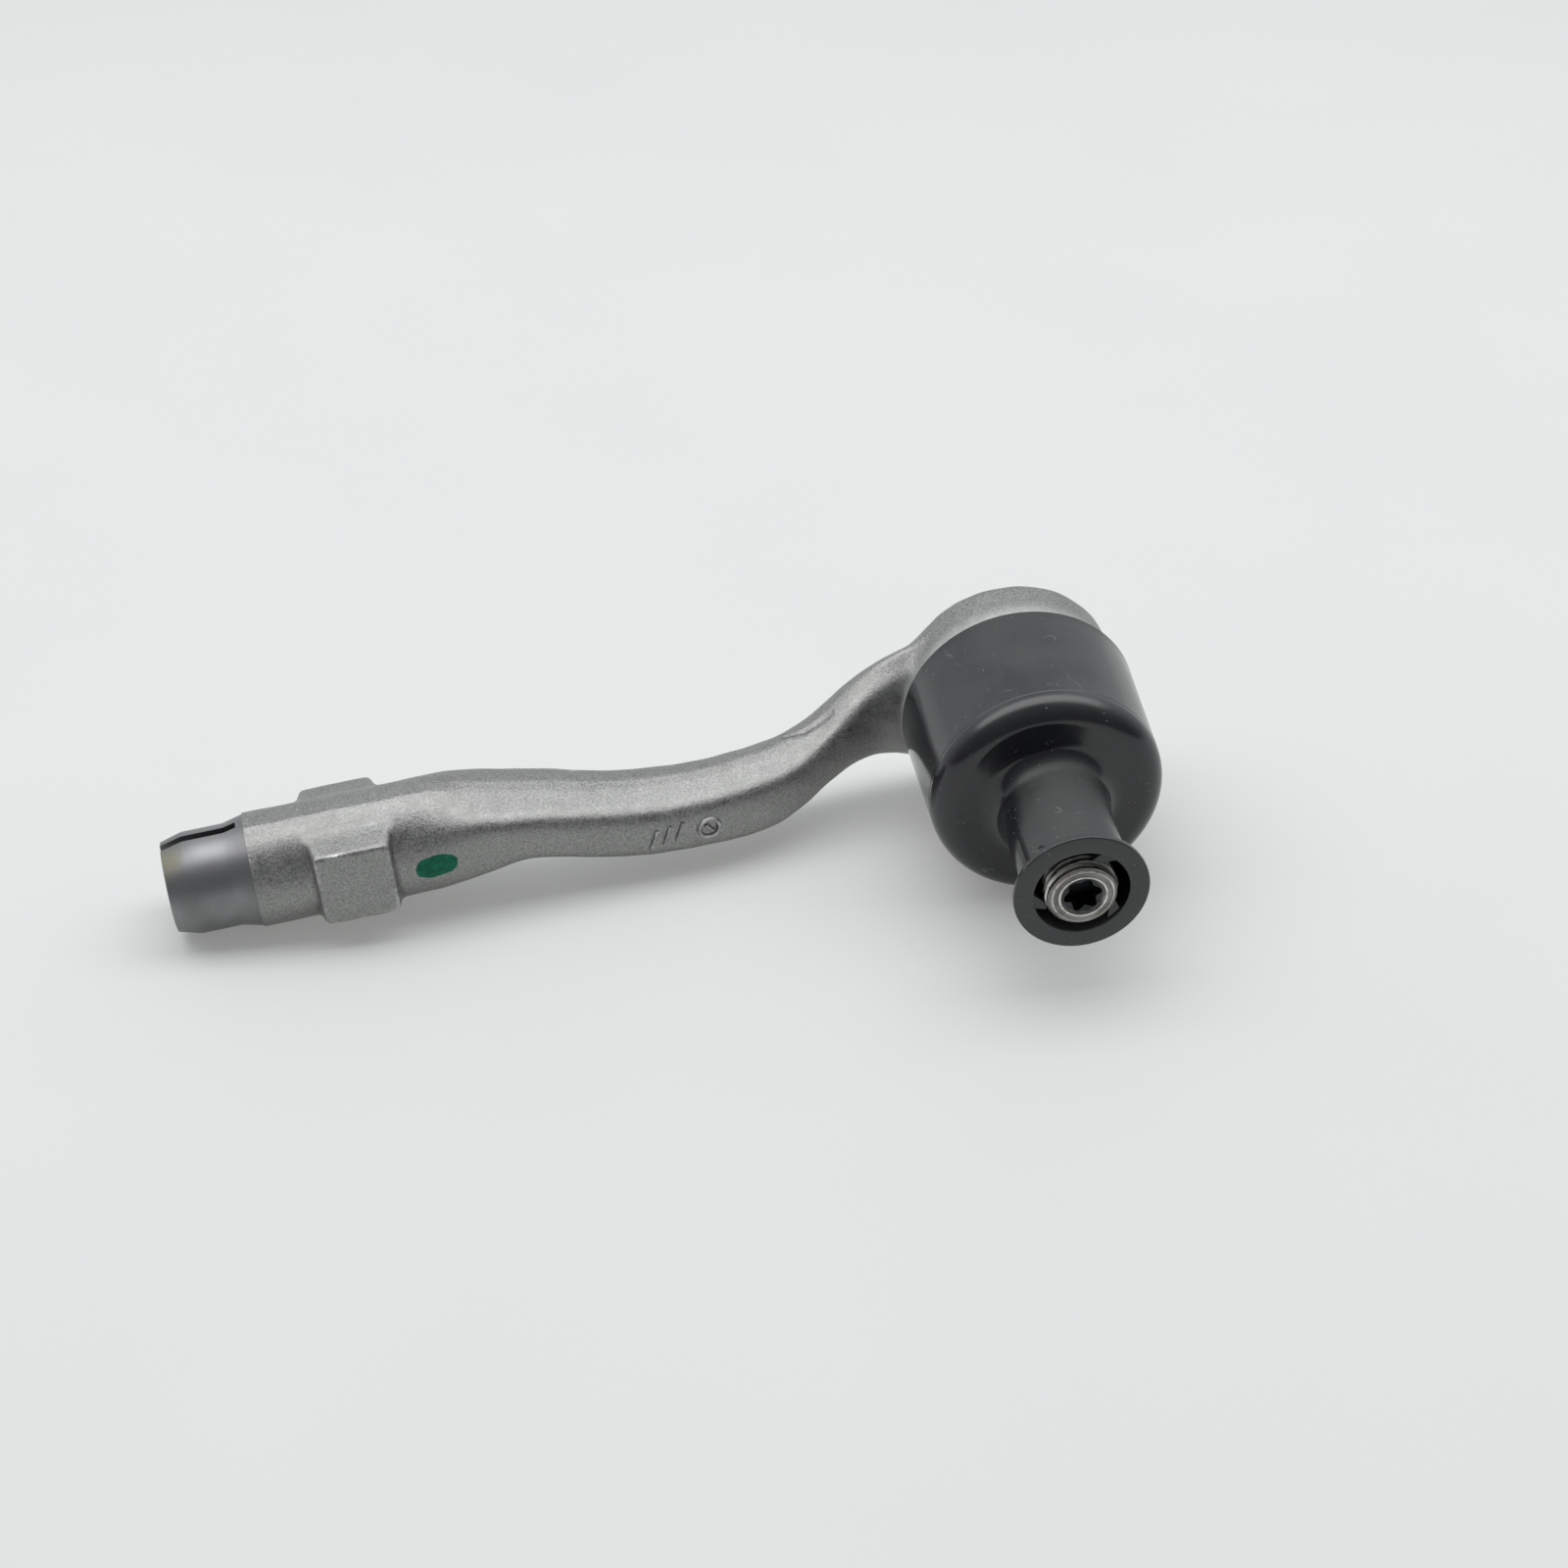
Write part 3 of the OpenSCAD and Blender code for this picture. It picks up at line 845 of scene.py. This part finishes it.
def wire(name, radius, start, pitch, turns, thickness, first_angle):
    """Closed round wire wound about the stud's axis, with flat ends."""
    per_turn, sides = 96, 12
    turn = np.arange(int(per_turn * turns) + 1)[:, None] / per_turn
    angle = math.radians(first_angle) + 2 * math.pi * turn
    round_it = 2 * math.pi * np.arange(sides)[None, :] / sides
    r = radius + thickness * np.cos(round_it)
    s = start + pitch * turn + thickness * np.sin(round_it)
    points = np.stack([r * np.cos(angle), r * np.sin(angle), s], -1).reshape(-1, 3)
    faces = quads(len(turn), sides, closed=False) + caps(len(turn), sides)
    return closed_mesh(name, points, faces, ON_STUD)


# ---- transit cap

SKIRT_R = float(node_box("transit_cap")[1][0])
CAP_S = -float(node_box("transit_cap")[0][1])
SKIRT_LEN = 31.4
SKIRT_DRAFT = 0.7
SHOULDER_R = 5.0
SHOULDER_TILT = 13
CAP_WALL = 1.3
NECK_R = 10.3
NECK_FILLET = 4.2
FLANGE_R = 12.9
FLANGE_T = 1.3
HOLE_R = 9.1
TAB_ANGLES = (55, 188, 314)
TAB_SPAN = 22
TAB_SWIRL = 26
TAB_T = 1.1
TAB_SINK = 1.65
TAB_GAP = 0.12
TAB_HOLLOW = 0.25
TAB_NARROWING = 0.72
GATE_R = 1.45
GATE_H = 0.6
GATE_BACK = 3.9
GATE_ANGLE = 133


def cap_tab(middle):
    """Snap tab that sweeps inwards from the hole's wall to the thread's crests."""
    outer, inner = [], []
    for share in np.linspace(0, 1, 9):
        span = TAB_SPAN * (share - 0.5)
        outer.append((HOLE_R + 0.5, middle + span))
        inner.append((THREAD_R + TAB_GAP + TAB_HOLLOW * (2 * share - 1) ** 2,
                      middle + TAB_SWIRL / 2 + TAB_NARROWING * span))
    ring = outer + inner[::-1]
    outline = [(r * math.cos(math.radians(a)), r * math.sin(math.radians(a))) for r, a in ring]
    return prism("tab", outline, CAP_S - TAB_SINK, CAP_S - TAB_SINK + TAB_T, ON_STUD)


def gate_mark():
    """Small ring that moulding has left on the neck, near the flange."""
    top = NECK_R + GATE_H
    outline = rounded([
        (0, NECK_R - 0.7), (GATE_R, NECK_R - 0.7), (GATE_R, top, 0.2), (GATE_R - 0.5, top, 0.15),
        (GATE_R - 0.75, top - 0.3, 0.1), (0, top - 0.3)], closed=False)
    place = (ON_STUD @ Matrix.Translation((0, 0, (CAP_S - GATE_BACK) * MM))
             @ Matrix.Rotation(math.radians(GATE_ANGLE), 4, "Z")
             @ Matrix.Rotation(math.radians(90), 4, "Y"))
    return turned("gate", outline, place, 32)


def transit_cap():
    """Thin-walled moulding: skirt, shoulder, neck and flange, with its snap tabs."""
    top_r = SKIRT_R - SKIRT_DRAFT
    flange_s = CAP_S - FLANGE_T
    knee = (top_r - SHOULDER_R, SKIRT_LEN - SHOULDER_R)
    neck = (NECK_R + NECK_FILLET, SKIRT_LEN + NECK_FILLET)
    skirt = [(SKIRT_R - 0.012, 0.25), (SKIRT_R - 0.06, 0.6)]
    bend = arc(knee, SHOULDER_R, SHOULDER_TILT, 90, 20)
    ledge = knee[1] - 0.35
    outside = resample(skirt + [(top_r, ledge - 0.5)], 2.5)
    outside += rounded([
        outside[-1], (top_r, ledge, 0.25), (top_r - 0.06, ledge + 0.15, 0.2),
        (bend[0][0] + 0.07, bend[0][1] - 0.35, 0.3), bend[0]], closed=False)[1:]
    neck_side = resample([(NECK_R, neck[1]), (NECK_R - 0.05, flange_s - 0.7)], 2.5)
    flange = rounded([
        (NECK_R - 0.05, flange_s - 0.7), (NECK_R - 0.05, flange_s, 0.5),
        (FLANGE_R, flange_s, 0.25), (FLANGE_R, CAP_S, 0.35), (HOLE_R, CAP_S, 0.25),
        (HOLE_R, SKIRT_LEN - CAP_WALL, 0.8), (knee[0], SKIRT_LEN - CAP_WALL)],
        closed=False, steps=4)
    inner_knee = arc(knee, SHOULDER_R - CAP_WALL, 90, 0, 12)
    rim = [(SKIRT_R - CAP_WALL, 0.3), (SKIRT_R - CAP_WALL + 0.25, 0.02), (SKIRT_R - 0.3, 0.0)]
    outline = (outside + bend[1:] + arc(neck, NECK_FILLET, 270, 180, 14) + neck_side[1:]
               + flange[1:] + inner_knee[1:] + rim)
    body = turned("cap_moulding", outline, segments=180)
    for angle in TAB_ANGLES:
        combine(body, cap_tab(angle), "UNION")
    combine(body, gate_mark(), "UNION")
    return body


# ---- materials

PAINT_ALONG = 119.8
PAINT_UP = 0.2
PAINT_LONG = 4.0
PAINT_HIGH = 2.5
STAIN_SPOT = TUBE_AXIS * (TUBE_LEN - 1.0) + TUBE_UP * 8.5 - TUBE_BACK * 3.4
# inner and outer radius of each painted highlight ring on the stud's end
STUD_LANDS = ((4.3, 4.62), (5.72, 5.95), (6.45, 6.95))


class Nodes:
    """Short calls for building the node tree of a material or a world."""

    def __init__(self, owner, shader):
        owner.use_nodes = True
        self.owner = owner
        self.tree = owner.node_tree
        self.shader = self.tree.nodes[shader]
        self.texture = self.tree.nodes.new("ShaderNodeTexCoord").outputs
        self.place = self.texture["Object"]

    def link(self, value, socket):
        if hasattr(value, "links"):
            self.tree.links.new(value, socket)
        else:
            socket.default_value = value

    def set(self, socket, value):
        self.link(value, self.shader.inputs[socket])

    def node(self, kind, inputs, output, **settings):
        """Output of a new node, whose inputs are linked or given their values."""
        made = self.tree.nodes.new("ShaderNode" + kind)
        for name, value in settings.items():
            setattr(made, name, value)
        for socket, value in inputs.items():
            self.link(value, made.inputs[socket])
        return made.outputs[output]

    def noise(self, scale, detail=4, roughness=0.55, stretch=None):
        """Noise with features of about 1 / scale metres."""
        place = self.place
        if stretch:
            place = self.node("Mapping", {"Vector": place, "Scale": stretch}, "Vector")
        inputs = {"Vector": place, "Scale": scale, "Detail": detail, "Roughness": roughness}
        return self.node("TexNoise", inputs, "Fac")

    def cells(self, scale):
        """Distance to the nearest of scattered points."""
        return self.node("TexVoronoi", {"Vector": self.place, "Scale": scale}, "Distance")

    def ramp(self, value, low, high, to_low=0.0, to_high=1.0):
        inputs = {"Value": value, "From Min": low, "From Max": high,
                  "To Min": to_low, "To Max": to_high}
        return self.node("MapRange", inputs, "Result", interpolation_type="SMOOTHSTEP")

    def maths(self, operation, a, b=0.0):
        return self.node("Math", {0: a, 1: b}, 0, operation=operation)

    def times(self, a, b):
        return self.maths("MULTIPLY", a, b)

    def plus(self, a, b):
        return self.maths("ADD", a, b)

    def mix(self, share, a, b):
        """Mix of two colours, each a socket or (r, g, b)."""
        a, b = (v if hasattr(v, "links") else (*v, 1) for v in (a, b))
        return self.node("Mix", {"Factor": share, "A": a, "B": b}, "Result", data_type="RGBA")

    def along(self, axis, offset=0.0):
        """Distance in metres along an axis through the origin."""
        inputs = {0: self.place, 1: tuple(float(v) for v in axis)}
        value = self.node("VectorMath", inputs, "Value", operation="DOT_PRODUCT")
        return self.maths("SUBTRACT", value, offset)

    def radius(self):
        """Distance in metres from the stud's axis."""
        across, high = self.along((1, 0, 0)), self.along((0, 0, 1))
        return self.maths("SQRT", self.plus(self.times(across, across), self.times(high, high)))

    def tool_marks(self, axis, scale):
        """Noise that changes only along an axis."""
        inputs = {"W": self.along(axis), "Scale": scale, "Detail": 3}
        return self.node("TexNoise", inputs, "Fac", noise_dimensions="1D")

    def bump(self, height, strength, distance, onto=None):
        inputs = {"Height": height, "Strength": strength, "Distance": distance}
        if onto:
            inputs["Normal"] = onto
        return self.node("Bump", inputs, "Normal")


def surface(name, colour, metallic, roughness, specular=0.5):
    """Node tree of a new material, with its plain values set."""
    n = Nodes(bpy.data.materials.new(name), "Principled BSDF")
    n.set("Base Color", (*colour, 1))
    n.set("Metallic", metallic)
    n.set("Roughness", roughness)
    n.set("Specular IOR Level", specular)
    return n


def forged_aluminium():
    """Blasted forging skin, with a dab of paint on the tube's near side."""
    n = surface("forged_aluminium", (0.40, 0.40, 0.39), 1.0, 0.5, 0.15)
    grain = n.noise(2300, 3, 0.6)
    mottle = n.noise(420, 4, 0.6)
    pale = (0.40, 0.402, 0.395)
    tone = n.mix(n.ramp(grain, 0.3, 0.7), (0.21, 0.212, 0.206), pale)
    tone = n.mix(n.ramp(mottle, 0.36, 0.64, 0.0, 0.2), tone, pale)
    tone = n.mix(n.ramp(n.noise(60, 3, 0.5), 0.4, 0.68, 0.0, 0.2), tone, (0.25, 0.252, 0.236))
    # hollows get painted shade; nicks and rubbed edges are bright wear
    edges = n.node("NewGeometry", {}, "Pointiness")
    nick = n.times(n.ramp(n.cells(560), 0.16, 0.08), n.ramp(n.noise(150, 2), 0.60, 0.68))
    rubbed = n.times(n.ramp(edges, 0.508, 0.54), n.ramp(n.noise(330, 3), 0.50, 0.68, 0.0, 0.55))
    tone = n.mix(n.ramp(edges, 0.492, 0.455, 0.0, 0.75), tone, (0.07, 0.07, 0.066))
    tone = n.mix(n.maths("MAXIMUM", rubbed, n.times(nick, 0.7)), tone, (0.70, 0.705, 0.70))
    # the housing's skin is painted brighter beside its turned front, a painted highlight
    rim = n.times(n.ramp(n.along((0, 1, 0)), 7.5 * MM, 1.0 * MM, 0.0, 0.75),
                  n.ramp(n.along((1, 0, 0)), -31 * MM, -20 * MM))
    tone = n.mix(rim, tone, (0.72, 0.725, 0.72))
    # the paint is an oval with a ragged edge
    far = n.maths("DIVIDE", n.along(TUBE_AXIS, PAINT_ALONG * MM), PAINT_LONG * MM)
    high = n.maths("DIVIDE", n.along(TUBE_UP, PAINT_UP * MM), PAINT_HIGH * MM)
    oval = n.plus(n.maths("POWER", n.maths("ABSOLUTE", far), 2.6),
                  n.maths("POWER", n.maths("ABSOLUTE", high), 2.4))
    oval = n.plus(oval, n.times(n.maths("SUBTRACT", n.noise(520, 3), 0.5), 0.9))
    near = n.maths("LESS_THAN", n.along(TUBE_BACK), 0.0)
    paint = n.times(n.ramp(oval, 1.12, 0.9), near)
    green = n.mix(n.ramp(n.noise(700, 4), 0.35, 0.7), (0.002, 0.115, 0.058), (0.008, 0.18, 0.105))
    n.set("Base Color", n.mix(paint, tone, green))
    n.set("Metallic", n.maths("SUBTRACT", 1.0, paint))
    rough = n.plus(n.ramp(mottle, 0.3, 0.7, 0.44, 0.54), n.ramp(grain, 0.3, 0.7, -0.05, 0.05))
    n.set("Roughness", n.mix(paint, rough, (0.42, 0.42, 0.42)))
    coarse = n.bump(n.noise(1000, 3), 0.45, 0.00009)
    n.set("Normal", n.bump(grain, 0.55, 0.00009, coarse))
    return n.owner


def machined_aluminium():
    """Turned metal with a faint stain near the tube's mouth."""
    n = surface("machined_aluminium", (0.25, 0.25, 0.26), 1.0, 0.3)
    rings = n.tool_marks(TUBE_AXIS, 5200)
    blotch = n.noise(120, 1)
    tone = n.mix(n.ramp(blotch, 0.35, 0.7), (0.285, 0.286, 0.292), (0.225, 0.225, 0.227))
    tone = n.mix(n.ramp(rings, 0.35, 0.7, 0.0, 0.25), tone, (0.16, 0.16, 0.16))
    ends = {0: n.place, 1: tuple(STAIN_SPOT * MM)}
    away = n.node("VectorMath", ends, "Value", operation="DISTANCE")
    spread = n.plus(away, n.times(n.noise(300, 4), 0.004))
    stain = n.ramp(spread, 0.0065, 0.0030, 0.0, 0.75)
    n.set("Base Color", n.mix(stain, tone, (0.24, 0.235, 0.18)))
    n.set("Roughness", n.plus(n.ramp(blotch, 0.3, 0.7, 0.43, 0.5), n.times(stain, 0.12)))
    fine = n.bump(n.noise(1900, 2), 0.06, 0.00003)
    n.set("Normal", n.bump(rings, 0.12, 0.00002, fine))
    return n.owner


def turned_steel():
    """Dark steel, with painted highlights on the turned edges of its end and on the thread's
    crests, grime and painted shade in the thread's roots, and painted shade in the socket.
    """
    n = surface("turned_steel", (0.46, 0.45, 0.43), 1.0, 0.3)
    rings = n.tool_marks((0, 1, 0), 6500)
    blotch = n.noise(240, 4)
    tone = n.mix(n.ramp(blotch, 0.35, 0.68), (0.25, 0.243, 0.23), (0.14, 0.135, 0.125))
    tone = n.mix(n.ramp(rings, 0.4, 0.7, 0.0, 0.25), tone, (0.15, 0.145, 0.14))
    radius = n.radius()
    along = n.along((0, -1, 0))
    face = n.ramp(along, (STUD_TIP - 1.7) * MM, (STUD_TIP - 1.4) * MM)
    threaded = n.ramp(along, (THREAD_FROM + 1.0) * MM, (THREAD_FROM + 1.5) * MM)
    # painted highlights on the lands of the end and on the thread's crests
    lands = 0.0
    for low, high in STUD_LANDS:
        land = n.times(n.ramp(radius, (low - 0.12) * MM, low * MM),
                       n.ramp(radius, (high + 0.12) * MM, high * MM))
        lands = n.maths("MAXIMUM", lands, land)
    crest = n.times(n.ramp(radius, 6.7 * MM, 6.95 * MM), n.times(threaded, 0.5))
    painted_highlight = n.maths("MAXIMUM", n.times(lands, face), crest)
    patchy = n.ramp(n.noise(800, 3), 0.3, 0.6, 0.45, 1.0)
    tone = n.mix(n.times(painted_highlight, patchy), tone, (0.68, 0.665, 0.64))
    # the thread's roots are painted dark: oily grime with painted shade
    root = n.times(n.ramp(radius, 6.75 * MM, 6.45 * MM),
                   n.times(threaded, n.maths("SUBTRACT", 1.0, face)))
    tone = n.mix(root, tone, (0.05, 0.047, 0.042))
    # painted shade in the socket
    ragged = n.plus(radius, n.times(n.noise(900, 3), 0.0006))
    socket_shade = n.times(n.ramp(ragged, 0.0044, 0.0040), n.ramp(along, 0.050, 0.052))
    n.set("Base Color", n.mix(socket_shade, tone, (0.06, 0.062, 0.066)))
    n.set("Roughness", n.plus(n.ramp(blotch, 0.3, 0.7, 0.24, 0.40), n.times(socket_shade, 0.15)))
    n.set("Normal", n.bump(rings, 0.3, 0.00004))
    return n.owner


def zinc_plate():
    n = surface("zinc_plate", (0.62, 0.61, 0.56), 1.0, 0.34)
    cloud = n.noise(150, 5)
    spangle = n.noise(700, 1, 0.3)
    tone = n.mix(n.ramp(cloud, 0.35, 0.7), (0.58, 0.58, 0.54), (0.46, 0.45, 0.40))
    n.set("Base Color", n.mix(n.ramp(spangle, 0.4, 0.6, 0.0, 0.3), tone, (0.36, 0.36, 0.34)))
    n.set("Roughness", n.ramp(cloud, 0.3, 0.7, 0.28, 0.42))
    n.set("Normal", n.bump(n.noise(1500, 3), 0.2, 0.00005))
    return n.owner


def spring_steel():
    n = surface("spring_steel", (0.2, 0.2, 0.21), 1.0, 0.36)
    cloud = n.noise(500, 4)
    n.set("Base Color", n.mix(n.ramp(cloud, 0.35, 0.7), (0.17, 0.17, 0.18), (0.30, 0.29, 0.28)))
    n.set("Roughness", n.ramp(cloud, 0.3, 0.7, 0.28, 0.45))
    n.set("Normal", n.bump(n.noise(2200, 2), 0.25, 0.00004))
    return n.owner


def plastic(name, dark, light, roughness, grain):
    n = surface(name, dark, 0.0, roughness)
    cloud = n.noise(220, 4)
    n.set("Base Color", n.mix(n.ramp(cloud, 0.35, 0.7), dark, light))
    n.set("Roughness", n.ramp(cloud, 0.3, 0.7, roughness - 0.06, roughness + 0.08))
    n.set("Normal", n.bump(n.noise(grain, 3), 0.3, 0.00005))
    return n.owner


def cap_plastic():
    """Glossy moulding with dust and painted sheen on its upper side, specks, and fine scratches."""
    n = surface("cap_plastic", (0.008, 0.008, 0.011), 0.0, 0.2, 0.65)
    cloud = n.noise(90, 4)
    scuff = n.noise(900, 3, 0.6, stretch=(1.0, 0.12, 1.0))
    tone = n.mix(n.ramp(cloud, 0.35, 0.7), (0.007, 0.007, 0.010), (0.011, 0.012, 0.014))
    tone = n.mix(n.ramp(scuff, 0.66, 0.74, 0.0, 0.3), tone, (0.05, 0.05, 0.055))
    # dust and painted sheen lie on what faces up, thickest on the neck, and on the flange's end;
    # the sheen is a painted reflection of the overhead light
    upward = n.ramp(n.node("SeparateXYZ", {0: n.texture["Normal"]}, "Z"), 0.35, 1.0)
    dust_and_sheen = n.times(upward, n.ramp(cloud, 0.25, 0.7, 0.45, 1.0))
    dust_and_sheen = n.times(dust_and_sheen, n.ramp(n.radius(), 14 * MM, 10.5 * MM, 1.0, 3.0))
    flat = n.ramp(n.along((0, -1, 0)), (CAP_S - 0.4) * MM, (CAP_S - 0.2) * MM)
    dust_and_sheen = n.maths("MAXIMUM", dust_and_sheen, n.times(flat, 0.5))
    tone = n.mix(n.times(dust_and_sheen, 0.8), tone, (0.043, 0.046, 0.046))
    line = n.maths("SUBTRACT", n.noise(120, 1, 0.4, stretch=(1.0, 1.0, 3.0)), 0.5)
    line = n.ramp(n.maths("ABSOLUTE", line), 0.007, 0.003)
    line = n.times(line, n.ramp(n.noise(140, 2), 0.60, 0.66))
    dust = n.times(n.ramp(n.cells(820), 0.11, 0.06), n.ramp(n.noise(260, 2), 0.54, 0.60))
    marks = n.maths("MAXIMUM", dust, n.times(line, 0.22))
    n.set("Base Color", n.mix(marks, tone, (0.34, 0.34, 0.32)))
    rough = n.plus(n.ramp(cloud, 0.3, 0.7, 0.13, 0.18), n.times(dust_and_sheen, 0.16))
    n.set("Roughness", n.plus(rough, n.times(marks, 0.4)))
    soft = n.bump(n.noise(260, 2), 0.06, 0.0001)
    n.set("Normal", n.bump(n.noise(2600, 2), 0.10, 0.00003, soft))
    return n.owner


def pale_floor():
    n = surface("pale_floor", (0.72, 0.735, 0.73), 0.0, 0.6, 0.3)
    cloud = n.ramp(n.noise(9, 3), 0.3, 0.7)
    n.set("Base Color", n.mix(cloud, (0.54, 0.553, 0.55), (0.555, 0.565, 0.562)))
    n.set("Emission Color", (1.0, 1.01, 0.985, 1))
    n.set("Emission Strength", FLOOR_GLOW)
    n.set("Normal", n.bump(n.noise(420, 3), 0.05, 0.0003))
    return n.owner


# ---- stage

# in metres; the room's brightness fades from its pale back to its dim front
FLOOR_HALF = 3.0
FLOOR_GLOW = 0.2
ROOM_FRONT = 0.2
ROOM_BACK = 0.74
ROOM_FADE = 0.45
LAMP_SIZE = (2.4, 0.6)
LAMP_BACK = 0.16
LAMP_HIGH = 0.95
LAMP_POWER = 11.0


def studio():
    """Pale floor under the object, a wide lamp straight above it, and the room's light."""
    low, high = CAD_BOX
    mesh = bpy.data.meshes.new("floor")
    corners = ((-1, -1), (1, -1), (1, 1), (-1, 1))
    points = [(x * FLOOR_HALF, y * FLOOR_HALF, low.z) for x, y in corners]
    mesh.from_pydata(points, [], [(0, 1, 2, 3)])
    mesh.materials.append(pale_floor())
    floor = new_object("floor", mesh)
    world = bpy.data.worlds.new("studio")
    bpy.context.scene.world = world
    n = Nodes(world, "Background")
    n.set("Color", (0.96, 0.98, 1.0, 1))
    back = n.node("SeparateXYZ", {0: n.texture["Generated"]}, "Y")
    n.set("Strength", n.ramp(back, -ROOM_FADE, ROOM_FADE, ROOM_FRONT, ROOM_BACK))
    data = bpy.data.lights.new("overhead", "AREA")
    data.shape = "RECTANGLE"
    data.size, data.size_y = LAMP_SIZE
    data.energy = LAMP_POWER
    lamp = new_object("overhead", data)
    lamp.location = ((low.x + high.x) / 2, LAMP_BACK, LAMP_HIGH)


def camera():
    """Camera that looks at the aim from the photograph's side and height."""
    turn, rise = math.radians(VIEW_TURN), math.radians(VIEW_RISE)
    back = Vector((math.sin(turn) * math.cos(rise), -math.cos(turn) * math.cos(rise),
                   math.sin(rise)))
    data = bpy.data.cameras.new("camera")
    data.lens = LENS
    data.sensor_width = SENSOR
    data.clip_start = 0.01
    made = new_object("camera", data)
    made.location = (Vector(VIEW_AIM) + back * VIEW_DISTANCE) * MM
    made.rotation_euler = (-back).to_track_quat("-Z", "Y").to_euler()
    bpy.context.scene.camera = made


# ---- making

camera()
studio()
bpy.context.scene.view_settings.view_transform = "Standard"

cast, machined = forged_aluminium(), machined_aluminium()
spring = spring_steel()
natural = plastic("natural_acetal", (0.80, 0.79, 0.72), (0.86, 0.85, 0.79), 0.4, 1500)
black = plastic("black_acetal", (0.03, 0.03, 0.033), (0.05, 0.05, 0.055), 0.42, 1500)
rubber = plastic("boot_rubber", (0.014, 0.014, 0.015), (0.026, 0.026, 0.027), 0.55, 1900)

finished(forging(cast, machined), "arm", "arm_forging", [cast, machined], 32)
finished(closing_cover(), "arm", "closing_cover", [zinc_plate()])
finished(load_ring(), "arm", "pressure_ring", [spring])
finished(seat(), "arm", "ball_seat", [natural])
base_clip = wire(
    "base_clip", radius=19.35, start=7.75, pitch=0.0, turns=0.985, thickness=0.52, first_angle=100)
finished(base_clip, "arm", "boot_base_clip", [spring])
finished(stud(), "stud", "ball_stud", [turned_steel()], 30)
finished(slip_ring(), "boot_top", "boot_slip_ring", [black])
top_clip = wire(
    "top_clip", radius=11.45, start=24.5, pitch=1.08, turns=1.98, thickness=0.48, first_angle=200)
finished(top_clip, "boot_top", "boot_top_clip", [spring])
boot = finished(dust_boot(), None, "dust_boot", [rubber])
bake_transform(boot)
finished(transit_cap(), "cap", "transit_cap", [cap_plastic()], 30)
